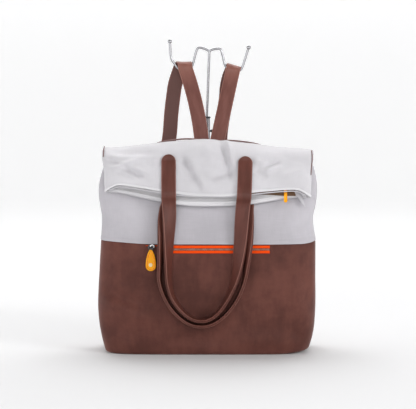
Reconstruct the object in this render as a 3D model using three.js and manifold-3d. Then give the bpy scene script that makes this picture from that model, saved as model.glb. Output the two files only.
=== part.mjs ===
// A fold-over convertible backpack that stands upright, with its shoulder straps hung on a double hook stand.
// Millimetres, +Z up, front towards -Y. The origin is the middle of the bag's base, on the surface.

import * as THREE from "three";
import { mergeVertices } from "three/addons/utils/BufferGeometryUtils.js";
import Module from "manifold-3d";

const wasm = await Module();
wasm.setup();

// Driving dimensions of the bag
const bagWidth = 400;
const bagDepth = 138;
const seamHeight = 200;
const shoulderHeight = 350;
const foldHeight = 387;
const flapDrop = 100;
const wall = 1.8;
const gussetTuck = 16;
const innerFoldRise = 8;
const seatGap = 0.3;

// Handles and shoulder straps
const handleWidth = 26;
const handleThickness = 5;
const handleSpread = 70;
const handleReach = 333;
const handleTipDrop = 30;
const handleSeam = -3;
const frontTipDrop = 45;
const strapWidth = 27;
const strapThickness = 3.2;
const strapSeam = 32;
const strapFoot = 25;
const strapLeave = 49;

// Zip of the front pocket
const pocketZipLength = 222;
const pocketZipDrop = 1.5;
const tapeWidth = 5.2;
const teethWidth = 3.8;
const tapeThickness = 1;
const sliderAlong = -0.91;

// Sliders and pulls
const sliderLength = 12;
const sliderWidth = 9;
const sliderThickness = 2.6;
const bailRadius = 0.9;
const bailSpan = 7;
const pivotPlay = 0.4;
const knuckleWall = 0.9;
const dropLength = 41;
const dropWidth = 19.6;
const dropThickness = 3.2;
const linkPlate = 0.9;
const linkWidth = 6.4;
const linkLength = 8;

// Zip inside the mouth of the fold, its pull, and the loose corner of the gusset
const mouthTapeThickness = 1.4;
const mouthTapeWidth = 13;
const mouthSliderThickness = 1.2;
const mouthBailRadius = 0.6;
const mouthKnuckleWall = 0.6;
const mouthPullAlong = 0.767;
const mouthPullWidth = 7.2;
const mouthPullLength = 27;
const mouthPullThickness = 1.6;
const mouthPlay = 1.6;
const gussetTabLength = 28;
const gussetTabWidth = 10;
const gussetTabThickness = 2;

// Stand
const wireRadius = 2.4;
const tubeRadius = 6;
const tubeTop = 426;
const tubeSide = -1.8;
const boreRadius = 3.6;
const collarHeight = 5;
const collarLip = 1.2;
const rodPlunge = 14;
const rodTop = 549;
const rodTopSide = 3;
const setScrew = { below: 27, radius: 3, length: 6 };
const basePlate = { width: 170, depth: 130, thickness: 6, corner: 18 };
const standClear = 4;
const hookReach = 47.5;
const hookDepth = 40;
const loopRadius = 9;

const outline = {
  brown: { color: 0x5f3a31, roughness: 0.72, metalness: 0 },
  strap: { color: 0x6b4136, roughness: 0.6, metalness: 0 },
  canvas: { color: 0xd2cfd4, roughness: 0.85, metalness: 0 },
  orange: { color: 0xf04b10, roughness: 0.6, metalness: 0 },
  taupe: { color: 0x7d6656, roughness: 0.5, metalness: 0 },
  yellow: { color: 0xf9a51a, roughness: 0.4, metalness: 0 },
  umber: { color: 0x5a4434, roughness: 0.8, metalness: 0 },
  chrome: { color: 0xc8cacc, roughness: 0.12, metalness: 1 },
};

// Sizes that follow from those above
const underGap = handleThickness + 4 * seatGap;
const mouthKnuckleRadius = mouthBailRadius + pivotPlay + mouthKnuckleWall;
const mouthPivotOut =
  5 * seatGap + mouthTapeThickness + mouthSliderThickness + seatGap + mouthKnuckleRadius;
const mouthGap = mouthPivotOut + mouthKnuckleRadius + mouthPlay;
const flapThickness = 2 * wall + mouthGap;
const sectionSteps = 11;
const bodyExponent = 5;
const flapExponent = 8;

// The walls from the base to the shoulder: shares of shoulder height, half width and half depth.
const bodyRows = [
  { height: 0, half: 0.87, front: 0.79, back: 0.77 },
  { height: 0.008, half: 0.905, front: 0.86, back: 0.84 },
  { height: 0.03, half: 0.928, front: 0.92, back: 0.9 },
  { height: 0.09, half: 0.967, front: 0.965, back: 0.94 },
  { height: 0.15, half: 0.992, front: 0.985, back: 0.955 },
  { height: 0.25, half: 1, front: 1, back: 0.96 },
  { height: 0.43, half: 0.992, front: 0.995, back: 0.945 },
  { height: 0.57, half: 0.983, front: 0.955, back: 0.915 },
  { height: 0.69, half: 0.976, front: 0.88, back: 0.87 },
  { height: 0.77, half: 0.987, front: 0.8, back: 0.83 },
  { height: 0.85, half: 0.999, front: 0.68, back: 0.77 },
  { height: 0.94, half: 0.998, front: 0.48, back: 0.66 },
  { height: 1, half: 0.985, front: 0.34, back: 0.57 },
];

// Across the fold: its top as a share of the fold height, its two edges as shares of the flap's drop.
const foldRows = [
  { at: -1, top: 0.964, outer: 0.92, inner: 0.935 },
  { at: -0.9, top: 0.965, outer: 0.815, inner: 0.945 },
  { at: -0.75, top: 0.97, outer: 0.834, inner: 0.995 },
  { at: -0.45, top: 0.985, outer: 0.925, inner: 1.105 },
  { at: -0.2, top: 0.997, outer: 0.985, inner: 1.165 },
  { at: 0, top: 1, outer: 1, inner: 1.175 },
  { at: 0.25, top: 0.988, outer: 1, inner: 1.165 },
  { at: 0.45, top: 0.977, outer: 0.955, inner: 1.135 },
  { at: 0.77, top: 0.96, outer: 0.904, inner: 1.05 },
  { at: 0.9, top: 0.956, outer: 0.913, inner: 1.026 },
  { at: 1, top: 0.953, outer: 1.02, inner: 1.035 },
];

// The free run of the handle on the fold's outer face. Down is a share of the handle's reach below the fold,
// side of its spread, clear of the stand-off at the fold, and turn is in degrees.
const backHandleRows = [
  { down: 0.345, side: -0.99, clear: 0.68, turn: 12 },
  { down: 0.42, side: -0.98, clear: 0.45, turn: 28 },
  { down: 0.515, side: -0.99, clear: 0.28, turn: 46 },
  { down: 0.6, side: -1.0, clear: 0.19, turn: 58 },
  { down: 0.69, side: -1.0, clear: 0.14, turn: 66 },
  { down: 0.765, side: -0.985, clear: 0.13, turn: 71 },
  { down: 0.835, side: -0.91, clear: 0.13, turn: 77 },
  { down: 0.89, side: -0.77, clear: 0.13, turn: 82 },
  { down: 0.935, side: -0.58, clear: 0.13, turn: 86 },
  { down: 0.963, side: -0.38, clear: 0.13, turn: 89 },
  { down: 0.972, side: -0.17, clear: 0.13, turn: 90 },
  { down: 0.963, side: 0.04, clear: 0.13, turn: 91 },
  { down: 0.932, side: 0.24, clear: 0.13, turn: 93 },
  { down: 0.885, side: 0.41, clear: 0.13, turn: 97 },
  { down: 0.825, side: 0.555, clear: 0.13, turn: 104 },
  { down: 0.752, side: 0.68, clear: 0.14, turn: 116 },
  { down: 0.665, side: 0.765, clear: 0.18, turn: 130 },
  { down: 0.55, side: 0.83, clear: 0.32, turn: 148 },
  { down: 0.43, side: 0.87, clear: 0.45, turn: 163 },
  { down: 0.35, side: 0.9, clear: 0.68, turn: 172 },
];

// The free run of the handle that comes out from under the fold, in the same columns.
const frontHandleRows = [
  { down: 0.375, side: -1.05, clear: 0.06, turn: 5 },
  { down: 0.427, side: -1.09, clear: 0.1, turn: 20 },
  { down: 0.487, side: -1.12, clear: 0.16, turn: 40 },
  { down: 0.563, side: -1.16, clear: 0.17, turn: 60 },
  { down: 0.65, side: -1.2, clear: 0.14, turn: 74 },
  { down: 0.75, side: -1.22, clear: 0.13, turn: 82 },
  { down: 0.83, side: -1.12, clear: 0.13, turn: 87 },
  { down: 0.9, side: -0.94, clear: 0.13, turn: 89 },
  { down: 0.957, side: -0.69, clear: 0.13, turn: 90 },
  { down: 0.99, side: -0.43, clear: 0.13, turn: 90 },
  { down: 1.0, side: -0.17, clear: 0.13, turn: 90 },
  { down: 0.99, side: 0.09, clear: 0.13, turn: 90 },
  { down: 0.957, side: 0.35, clear: 0.13, turn: 90 },
  { down: 0.9, side: 0.6, clear: 0.13, turn: 91 },
  { down: 0.825, side: 0.81, clear: 0.13, turn: 93 },
  { down: 0.742, side: 0.935, clear: 0.13, turn: 98 },
  { down: 0.65, side: 0.99, clear: 0.13, turn: 110 },
  { down: 0.563, side: 1.01, clear: 0.13, turn: 130 },
  { down: 0.487, side: 1.0, clear: 0.12, turn: 150 },
  { down: 0.427, side: 0.995, clear: 0.08, turn: 164 },
  { down: 0.375, side: 0.99, clear: 0.06, turn: 175 },
];

// The shoulder straps behind the hooks: shares of the way down from the hook, and of the foot's distance
// from the middle.
const leftStrapRows = [
  { down: 0.12, side: 0.45 },
  { down: 0.28, side: 0.55 },
  { down: 0.45, side: 0.67 },
  { down: 0.62, side: 0.8 },
  { down: 0.78, side: 0.91 },
];
const rightStrapRows = [
  { down: 0.12, side: 0.26 },
  { down: 0.28, side: 0.175 },
  { down: 0.42, side: 0.24 },
  { down: 0.6, side: 0.5 },
  { down: 0.78, side: 0.84 },
];
const strapFootSide = 134;

// Where each strap is sewn at the top, the height of its bend over the hook, the middle of the strap before
// and after the bend, and the tilt of the bend in degrees.
const strapEnds = {
  left: { sewn: -12.6, top: 528.5, up: -41.9, down: -46.9, lean: 0 },
  right: { sewn: 20.5, top: 522.6, up: 46.3, down: 44.2, lean: -16.3 },
};

// The zip tape in the mouth: shares of the fold's half width, and its middle above the inner edge.
const mouthTapeRows = [
  { at: -0.84, rise: 19 },
  { at: -0.4, rise: 26 },
  { at: 0, rise: 28 },
  { at: 0.4, rise: 26 },
  { at: 0.62, rise: 20 },
  { at: 0.77, rise: 14 },
  { at: 0.88, rise: 11.5 },
];

// Each hook seen from the front, from the rod's top to the tip: shares of the reach and of the depth.
const leftHookRows = [
  { side: -0.1, rise: 1.07 },
  { side: -0.27, rise: 1.13 },
  { side: -0.39, rise: 1.1 },
  { side: -0.48, rise: 0.86 },
  { side: -0.57, rise: 0.44 },
  { side: -0.66, rise: 0.2 },
  { side: -0.86, rise: 0.08 },
  { side: -1.05, rise: 0.05 },
  { side: -1.23, rise: 0.13 },
  { side: -1.35, rise: 0.35 },
  { side: -1.42, rise: 0.63 },
  { side: -1.46, rise: 1.0 },
  { side: -1.48, rise: 1.34 },
];
const rightHookRows = [
  { side: 0.2, rise: 1.05 },
  { side: 0.36, rise: 1.08 },
  { side: 0.5, rise: 1.06 },
  { side: 0.58, rise: 0.82 },
  { side: 0.65, rise: 0.44 },
  { side: 0.74, rise: 0.22 },
  { side: 0.95, rise: 0.13 },
  { side: 1.19, rise: 0.04 },
  { side: 1.36, rise: 0.09 },
  { side: 1.46, rise: 0.35 },
  { side: 1.53, rise: 0.7 },
  { side: 1.59, rise: 1.05 },
];

const { lerp, clamp, degToRad, radToDeg } = THREE.MathUtils;

// A smooth function through one column of a table, against its key column.
function curveThrough(rows, key, column) {
  const knots = rows.map((row) => row[key]);
  const values = rows.map((row) => row[column]);
  const last = knots.length - 1;
  const slope = (i) => {
    const before = Math.max(i - 1, 0);
    const after = Math.min(i + 1, last);
    return (values[after] - values[before]) / (knots[after] - knots[before]);
  };
  return (at) => {
    const place = clamp(at, knots[0], knots[last]);
    let i = 0;
    while (i < last - 1 && place > knots[i + 1]) i += 1;
    const span = knots[i + 1] - knots[i];
    const t = (place - knots[i]) / span;
    const rise = (values[i + 1] - values[i]) * t * t * (3 - 2 * t);
    const leave = slope(i) * span * t * (1 - t) * (1 - t);
    const arrive = slope(i + 1) * span * t * t * (1 - t);
    return values[i] + rise + leave - arrive;
  };
}

const halfShare = curveThrough(bodyRows, "height", "half");
const frontShare = curveThrough(bodyRows, "height", "front");
const backShare = curveThrough(bodyRows, "height", "back");
const topShare = curveThrough(foldRows, "at", "top");
const outerShare = curveThrough(foldRows, "at", "outer");
const innerShare = curveThrough(foldRows, "at", "inner");

const halfWidth = (z) => (bagWidth / 2) * halfShare(z / shoulderHeight);
const frontY = (z) => (-bagDepth / 2) * frontShare(z / shoulderHeight);
const backY = (z) => (bagDepth / 2) * backShare(z / shoulderHeight);
const flapHalf = (down) => (bagWidth / 2) * lerp(0.955, 0.893, down);
const foldTop = (x) => foldHeight * topShare(x / flapHalf(0));
const outerEdge = (x) => foldHeight - flapDrop * outerShare(x / flapHalf(1));
const innerEdge = (x) => foldHeight - flapDrop * innerShare(x / flapHalf(1));

// How far a rounded section of this exponent stands out at a share of its half width.
const roundOff = (share, exponent) => (1 - Math.min(Math.abs(share), 1) ** exponent) ** (1 / exponent);

// The outer face of the body's front or back wall, and the two faces of the flap in front of it.
function bodyFace(x, z, side) {
  const out = side * roundOff(x / halfWidth(z), bodyExponent);
  return lerp(frontY(z), backY(z), (out + 1) / 2);
}
const flapUnder = (x, z) => bodyFace(x, z, -1) - underGap;
const flapFace = (x, z) => flapUnder(x, z) - flapThickness;

// The outer face of the fold above the shoulder, on its front side.
function domeFace(x, z) {
  const front = flapFace(x, shoulderHeight);
  const back = backY(shoulderHeight);
  const rise = Math.min((z - shoulderHeight) / (foldTop(x) - shoulderHeight), 1);
  return (front + back) / 2 + ((front - back) / 2) * Math.sqrt(1 - rise * rise);
}

// How much a face moves back for each millimetre of height.
const slopeOf = (face, x, z) => (face(x, z + 1) - face(x, z - 1)) / 2;

// A place for a strap of this width that lies flat against a face, this far out from it.
function layOn(face, x, z, width, side, out) {
  const left = face(x - width / 2, z);
  const right = face(x + width / 2, z);
  const chord = (left + right) / 2;
  const bulge = Math.max(side * (face(x, z) - chord), 0);
  const turn = radToDeg(Math.atan2(right - left, width));
  return { x, y: chord + side * (bulge + out), z, turn };
}

// A section of the bag: its half width, exponent and gusset tuck, and its front and back lines at x.
function bodySection(z) {
  const rise = clamp((z - seamHeight) / (shoulderHeight - seamHeight), 0, 1);
  return {
    half: halfWidth(z),
    exponent: bodyExponent,
    tuck: gussetTuck * rise * rise,
    front: () => [frontY(z), z],
    back: () => [backY(z), z],
  };
}

function foldSection(turn) {
  const sweep = (1 - Math.cos(turn)) / 2;
  const bulge = Math.sin(turn);
  return {
    half: lerp(halfWidth(shoulderHeight), flapHalf(0), sweep),
    exponent: lerp(bodyExponent, flapExponent, sweep),
    tuck: gussetTuck * (1 - sweep) ** 2,
    front: (x) => [
      lerp(frontY(shoulderHeight), flapUnder(x, shoulderHeight), sweep),
      shoulderHeight + innerFoldRise * bulge,
    ],
    back: (x) => [
      lerp(backY(shoulderHeight), flapFace(x, shoulderHeight), sweep),
      shoulderHeight + (foldTop(x) - shoulderHeight) * bulge,
    ],
  };
}

function flapSection(down) {
  const along = (edge) => (x) => lerp(shoulderHeight, edge(x), down);
  const innerZ = along(innerEdge);
  const outerZ = along(outerEdge);
  return {
    half: flapHalf(down),
    exponent: flapExponent,
    tuck: 0,
    front: (x) => [flapUnder(x, innerZ(x)), innerZ(x)],
    back: (x) => [flapFace(x, outerZ(x)), outerZ(x)],
  };
}

// The closed ring of points of a section, from the right side round by the back.
function ringOf(section) {
  const count = 4 * sectionSteps;
  return Array.from({ length: count }, (_, i) => {
    const angle = (2 * Math.PI * i) / count;
    const c = Math.cos(angle);
    const s = Math.sin(angle);
    const reach = (Math.abs(c) ** section.exponent + Math.abs(s) ** section.exponent) ** (-1 / section.exponent);
    const out = reach * s;
    const x = section.half * reach * c - Math.sign(c) * section.tuck * (1 - out * out) ** 2;
    const front = section.front(x);
    const back = section.back(x);
    const share = (out + 1) / 2;
    return new THREE.Vector3(x, lerp(front[0], back[0], share), lerp(front[1], back[1], share));
  });
}

// A geometry from points and triangles, turned so that its faces point out.
function closedGeometry(points, triangles) {
  const volume = triangles.reduce((sum, [a, b, c]) => {
    return sum + points[a].dot(new THREE.Vector3().crossVectors(points[b], points[c])) / 6;
  }, 0);
  const faces = volume < 0 ? triangles.map(([a, b, c]) => [a, c, b]) : triangles;
  const geometry = new THREE.BufferGeometry().setFromPoints(points);
  geometry.setIndex(faces.flat());
  geometry.computeVertexNormals();
  return geometry;
}

// The triangles between rings of equal size, laid out one after another.
function bandTriangles(ringCount, size) {
  const faces = [];
  for (let ring = 0; ring < ringCount - 1; ring += 1) {
    for (let i = 0; i < size; i += 1) {
      const next = (i + 1) % size;
      const low = ring * size;
      const high = low + size;
      faces.push([low + i, low + next, high + next], [low + i, high + next, high + i]);
    }
  }
  return faces;
}

// A wall of even thickness whose outer face passes through the rings, open at the last ring. Its first
// ring is closed by a flat base, or left open.
function shellGeometry(rings, thickness, closedBase) {
  const size = rings[0].length;
  const outer = rings.flat();
  const skin = bandTriangles(rings.length, size);
  if (closedBase) {
    const centre = outer.length;
    outer.push(new THREE.Vector3(0, 0, rings[0][0].z));
    for (let i = 0; i < size; i += 1) skin.push([centre, (i + 1) % size, i]);
  }
  const normals = outer.map(() => new THREE.Vector3());
  for (const [a, b, c] of skin) {
    const ab = new THREE.Vector3().subVectors(outer[b], outer[a]);
    const ac = new THREE.Vector3().subVectors(outer[c], outer[a]);
    const face = ab.cross(ac);
    for (const corner of [a, b, c]) normals[corner].add(face);
  }
  const inner = outer.map((p, i) => p.clone().addScaledVector(normals[i].normalize(), -thickness));
  const shift = outer.length;
  const faces = [...skin, ...skin.map(([a, b, c]) => [a + shift, c + shift, b + shift])];
  const rim = (start, side) => {
    for (let i = 0; i < size; i += 1) {
      const a = start + i;
      const b = start + ((i + 1) % size);
      const quad = [[a, b, b + shift], [a, b + shift, a + shift]];
      faces.push(...(side > 0 ? quad : quad.map(([p, q, r]) => [p, r, q])));
    }
  };
  rim((rings.length - 1) * size, 1);
  if (!closedBase) rim(0, -1);
  return closedGeometry([...outer, ...inner], faces);
}

function lowerBody() {
  const cuffRows = bodyRows.filter((row) => row.height < 0.1);
  const heights = cuffRows.map((row) => row.height * shoulderHeight);
  const start = heights[heights.length - 1];
  const steps = 6;
  for (let i = 1; i <= steps; i += 1) heights.push(lerp(start, seamHeight, i / steps));
  return shellGeometry(heights.map((z) => ringOf(bodySection(z))), wall, true);
}

function upperBody() {
  const rings = [];
  const add = (count, first, last, section) => {
    for (let i = first; i <= last; i += 1) rings.push(ringOf(section(i / count)));
  };
  add(7, 0, 7, (t) => bodySection(lerp(seamHeight + seatGap, shoulderHeight, t)));
  add(8, 1, 8, (t) => foldSection(Math.PI * t));
  add(7, 1, 7, flapSection);
  return shellGeometry(rings, wall, false);
}

// A flat strap swept through stations, each with its centre, its direction across, its width and
// thickness. Its edges are bevelled.
function strapGeometry(stations, bevelShare = 0.35) {
  const last = stations.length - 1;
  const rings = stations.map((station, i) => {
    const before = stations[Math.max(i - 1, 0)].centre;
    const after = stations[Math.min(i + 1, last)].centre;
    const along = new THREE.Vector3().subVectors(after, before).normalize();
    const across = station.across.clone().addScaledVector(along, -station.across.dot(along)).normalize();
    const normal = new THREE.Vector3().crossVectors(along, across);
    const half = station.width / 2;
    const deep = station.thickness / 2;
    const bevel = Math.min(station.thickness * bevelShare, half * 0.6);
    const corners = [
      [half, -deep + bevel],
      [half, deep - bevel],
      [half - bevel, deep],
      [-half + bevel, deep],
      [-half, deep - bevel],
      [-half, -deep + bevel],
      [-half + bevel, -deep],
      [half - bevel, -deep],
    ];
    return corners.map(([a, n]) =>
      station.centre.clone().addScaledVector(across, a).addScaledVector(normal, n),
    );
  });
  const size = rings[0].length;
  const faces = bandTriangles(rings.length, size);
  const end = last * size;
  for (let i = 1; i < size - 1; i += 1) {
    faces.push([0, i + 1, i], [end, end + i, end + i + 1]);
  }
  return closedGeometry(rings.flat(), faces);
}

// Rows of centre and turn made finer by a smooth curve through them.
function refine(rows, steps) {
  const keyed = rows.map((row, i) => ({ lean: 0, ...row, index: i }));
  const names = ["x", "y", "z", "turn", "lean"];
  const columns = names.map((name) => curveThrough(keyed, "index", name));
  const count = (rows.length - 1) * steps;
  return Array.from({ length: count + 1 }, (_, i) => {
    const [x, y, z, turn, lean] = columns.map((column) => column(i / steps));
    return { x, y, z, turn, lean };
  });
}

// The width of a strap at a distance from its rounded end.
function tipWidth(distance, width) {
  const radius = width / 2;
  const missing = Math.max(radius - distance, 0);
  return Math.max(2 * Math.sqrt(radius * radius - missing * missing), 0.2 * width);
}

// Stations of a strap through rows of centre and turn, with rounded ends where asked.
function strapStations(rows, width, thickness, roundStart, roundEnd) {
  const centres = rows.map((row) => new THREE.Vector3(row.x, row.y, row.z));
  const runs = [0];
  for (let i = 1; i < centres.length; i += 1) runs.push(runs[i - 1] + centres[i].distanceTo(centres[i - 1]));
  const total = runs[runs.length - 1];
  return rows.map((row, i) => {
    const fromStart = roundStart ? tipWidth(runs[i], width) : width;
    const fromEnd = roundEnd ? tipWidth(total - runs[i], width) : width;
    const turn = degToRad(row.turn);
    return {
      centre: centres[i],
      across: new THREE.Vector3(Math.cos(turn), Math.sin(turn), Math.tan(degToRad(row.lean ?? 0))),
      width: Math.min(fromStart, fromEnd),
      thickness,
    };
  });
}

// Distances from a rounded end at which a strap gets a section.
const tipSteps = (width) => [0, 0.02, 0.1, 0.24, 0.5].map((share) => share * width);

// Heights from one to another in steps no longer than this.
function ladder(from, to, step) {
  const count = Math.max(Math.round(Math.abs(to - from) / step), 1);
  return Array.from({ length: count }, (_, i) => lerp(from, to, (i + 1) / count));
}

// The part of a handle that is sewn down, from its tip towards the mouth, on the face given.
function sewnRows(x, tipZ, endZ, faceY, turn) {
  const tip = tipSteps(handleWidth).map((distance) => tipZ - distance);
  const heights = [...tip, ...ladder(tip[tip.length - 1], endZ, 7)];
  return heights.map((z) => ({ x, y: faceY(x, z), z, turn }));
}

// The free part of a handle, clear of the bag's front.
function freeRows(table) {
  const standOff = underGap + flapThickness;
  return table.map(({ down, side, clear, turn }) => {
    const x = handleSpread * side;
    const z = foldHeight - handleReach * down;
    const angle = degToRad(turn);
    const deep = (handleWidth / 2) * Math.sin(angle) + (handleThickness / 2) * Math.abs(Math.cos(angle));
    return { x, y: bodyFace(x, z, -1) - clear * standOff - deep, z, turn };
  });
}

function handleGeometry(table, tipZ, edge, faceY) {
  const left = sewnRows(-handleSpread, tipZ, edge(-handleSpread) + handleSeam, faceY, 0);
  const right = sewnRows(handleSpread, tipZ, edge(handleSpread) + handleSeam, faceY, 180).reverse();
  const free = refine([left[left.length - 1], ...freeRows(table), right[0]], 2);
  const rows = [...left.slice(0, -1), ...free, ...right.slice(1)];
  return strapGeometry(strapStations(rows, handleWidth, handleThickness, true, true));
}

function backHandle() {
  const out = handleThickness / 2 + seatGap;
  const face = (x, z) => (z > shoulderHeight ? domeFace(x, z) : flapFace(x, z)) - out;
  return handleGeometry(backHandleRows, foldHeight - handleTipDrop, outerEdge, face);
}

function frontHandle() {
  const face = (x, z) => flapUnder(x, z) + underGap / 2;
  return handleGeometry(frontHandleRows, foldHeight - frontTipDrop, innerEdge, face);
}

// The stand is behind the bag's fullest part.
const standY = (bagDepth / 2) * 0.96 + standClear + tubeRadius;

// The top end of a shoulder strap: sewn to the back and up round the fold's rear edge.
function strapTop(x) {
  const out = strapThickness / 2 + 3 * seatGap;
  const low = shoulderHeight - strapSeam / 2;
  const tip = tipSteps(strapWidth).map((distance) => low + distance);
  const rows = tip.map((z) => ({ x, y: bodyFace(x, z, 1) + out, z, turn: 0 }));
  const middle = (flapFace(x, shoulderHeight) + bodyFace(x, shoulderHeight, 1)) / 2;
  const reach = bodyFace(x, shoulderHeight, 1) - middle + out;
  const rise = foldTop(x) - shoulderHeight + out;
  for (const angle of ladder(0, degToRad(strapLeave), 0.2)) {
    rows.push({
      x,
      y: middle + reach * Math.cos(angle),
      z: shoulderHeight + rise * Math.sin(angle),
      turn: 0,
    });
  }
  return rows;
}

// The bend of a shoulder strap over its hook, from the front to the rear.
function strapBend({ top, up, down, lean }) {
  const radius = loopRadius + strapThickness / 2;
  const middle = top - strapThickness - loopRadius;
  const steps = 8;
  return Array.from({ length: steps + 1 }, (_, i) => {
    const angle = (Math.PI * i) / steps;
    return {
      x: lerp(up, down, i / steps) - radius * Math.sin(angle) * Math.sin(degToRad(lean)),
      y: standY - radius * Math.cos(angle),
      z: middle + radius * Math.sin(angle),
      turn: 0,
      lean: lean * Math.sin(angle),
    };
  });
}

// A shoulder strap: from its top seam up to its hook, over it and down to its foot.
function shoulderStrap(side, table, ends) {
  const top = strapTop(ends.sewn);
  const bend = strapBend(ends);
  const leave = top[top.length - 1];
  const rise = [0.25, 0.5, 0.75].map((t) => ({
    x: lerp(leave.x, bend[0].x, t),
    y: lerp(leave.y, bend[0].y, t),
    z: lerp(leave.z, bend[0].z, t),
    turn: 0,
  }));
  const onBack = (z) => layOn((x, h) => bodyFace(x, h, 1), side * strapFootSide, z, strapWidth, 1, seatGap * 2);
  const seated = (z) => ({ ...onBack(z), y: onBack(z).y + strapThickness / 2 });
  const footTop = seated(strapFoot + strapSeam);
  const over = bend[bend.length - 1];
  const run = table.map(({ down, side: share }) => ({
    x: footTop.x * share,
    y: lerp(over.y, footTop.y, down),
    z: lerp(over.z, footTop.z, down),
    turn: footTop.turn * down,
  }));
  const fall = refine([over, ...run, footTop], 2).slice(1);
  const sewn = ladder(strapFoot + strapSeam, strapFoot + strapWidth / 2, 7).map(seated);
  const tip = tipSteps(strapWidth).reverse().slice(1).map((distance) => seated(strapFoot + distance));
  const rows = [...top, ...rise, ...bend, ...fall, ...sewn, ...tip];
  return strapGeometry(strapStations(rows, strapWidth, strapThickness, true, true));
}

// A flat strip across the front, through places given as x, y and z.
function stripGeometry(places, height, thickness) {
  const stations = places.map(([x, y, z]) => ({
    centre: new THREE.Vector3(x, y, z),
    across: new THREE.Vector3(0, 0, 1),
    width: height,
    thickness,
  }));
  return strapGeometry(stations, 0.2);
}

// A strip of the pocket's zip, whose middle is this far below the zip's top.
function pocketStrip(below, height) {
  const steps = 10;
  const z = seamHeight - pocketZipDrop - below;
  const places = Array.from({ length: steps + 1 }, (_, i) => {
    const x = pocketZipLength * (i / steps - 0.5);
    return [x, bodyFace(x, z, -1) - seatGap - tapeThickness / 2, z];
  });
  return stripGeometry(places, height - seatGap, tapeThickness);
}

// Boolean work on closed geometries
function toSolid(geometry) {
  const bare = (geometry.index ? geometry.toNonIndexed() : geometry).clone();
  bare.deleteAttribute("normal");
  bare.deleteAttribute("uv");
  const merged = mergeVertices(bare, 1e-4);
  return new wasm.Manifold(
    new wasm.Mesh({
      numProp: 3,
      vertProperties: new Float32Array(merged.attributes.position.array),
      triVerts: new Uint32Array(merged.index.array),
    }),
  );
}

function fromSolid(solid) {
  const mesh = solid.getMesh();
  const geometry = new THREE.BufferGeometry();
  geometry.setAttribute("position", new THREE.BufferAttribute(new Float32Array(mesh.vertProperties), 3));
  geometry.setIndex(new THREE.BufferAttribute(new Uint32Array(mesh.triVerts), 1));
  geometry.computeVertexNormals();
  return geometry;
}

const joined = (geometries) => geometries.map(toSolid).reduce((a, b) => a.add(b));
const boxAt = (x, y, z, cx, cy, cz) => new THREE.BoxGeometry(x, y, z).translate(cx, cy, cz);
const barAlongX = (radius, length, sides) =>
  new THREE.CylinderGeometry(radius, radius, length, sides).rotateZ(Math.PI / 2);

// A slider with a bail bar along X in front of it. The bar is at the origin, and the plate behind it.
function sliderGeometry(length, width, thickness, radius, reach) {
  const legDepth = reach + thickness / 2;
  const legs = [-1, 1].map((side) => {
    const x = side * (bailSpan / 2 + radius);
    return boxAt(2 * radius, legDepth, 2 * radius, x, legDepth / 2, 0);
  });
  const plate = boxAt(length, thickness, width, 0, reach + thickness / 2, 0);
  const bar = barAlongX(radius, bailSpan + 2 * radius, 10);
  return fromSolid(joined([plate, bar, ...legs]));
}

// The teardrop of the pocket's pull, with its top at the origin and hanging down.
function dropGeometry() {
  const radius = dropWidth / 2;
  const centreZ = radius - dropLength;
  const neck = linkWidth / 2 - seatGap;
  const shape = new THREE.Shape();
  shape.moveTo(-neck, 0);
  shape.bezierCurveTo(-neck - 1, centreZ * 0.3, -radius, centreZ * 0.6, -radius, centreZ);
  shape.absarc(0, centreZ, radius, Math.PI, 2 * Math.PI, false);
  shape.bezierCurveTo(radius, centreZ * 0.6, neck + 1, centreZ * 0.3, neck, 0);
  shape.closePath();
  const bevel = dropThickness * 0.28;
  const geometry = new THREE.ExtrudeGeometry(shape, {
    depth: dropThickness - 2 * bevel,
    bevelThickness: bevel,
    bevelSize: bevel,
    bevelOffset: -bevel,
    bevelSegments: 1,
    curveSegments: 10,
  });
  return geometry.translate(0, 0, -dropThickness / 2 + bevel).rotateX(Math.PI / 2);
}

const pocketKnuckle = bailRadius + pivotPlay + knuckleWall;
const dropTop = pocketKnuckle + seatGap;

// The metal link: a knuckle round the bail bar and a plate on each side of the drop's neck.
function linkGeometry() {
  const inside = dropThickness / 2 + seatGap;
  const plates = [-1, 1].map((side) => {
    return boxAt(linkWidth, linkPlate, linkLength, 0, side * (inside + linkPlate / 2), -linkLength / 2);
  });
  const crown = boxAt(linkWidth, 2 * (inside + linkPlate), pocketKnuckle, 0, 0, -pocketKnuckle / 2);
  const knuckle = barAlongX(pocketKnuckle, linkWidth, 12);
  const bore = barAlongX(bailRadius + pivotPlay, 2 * linkWidth, 12);
  return fromSolid(joined([knuckle, crown, ...plates]).subtract(toSolid(bore)));
}

// The narrow pull in the mouth, with its knuckle at the origin.
function mouthPullGeometry() {
  const shape = new THREE.Shape();
  const half = mouthPullWidth / 2;
  const end = half - mouthPullLength;
  shape.moveTo(-half * 0.8, 0);
  shape.lineTo(-half, end);
  shape.absarc(0, end, half, Math.PI, 2 * Math.PI, false);
  shape.lineTo(half * 0.8, 0);
  shape.closePath();
  const tab = new THREE.ExtrudeGeometry(shape, {
    depth: mouthPullThickness,
    bevelEnabled: false,
    curveSegments: 8,
  })
    .translate(0, 0, -mouthPullThickness / 2)
    .rotateX(Math.PI / 2);
  const knuckle = barAlongX(mouthKnuckleRadius, bailSpan - 2 * seatGap, 12);
  const bore = barAlongX(mouthBailRadius + pivotPlay, 2 * mouthPullWidth, 12);
  return fromSolid(joined([tab, knuckle]).subtract(toSolid(bore)));
}

// The inner skin of the flap's inner layer, which the mouth's zip lies on.
const mouthFloor = (x, z) => flapUnder(x, z) - wall;
const mouthRise = curveThrough(mouthTapeRows, "at", "rise");

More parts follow.
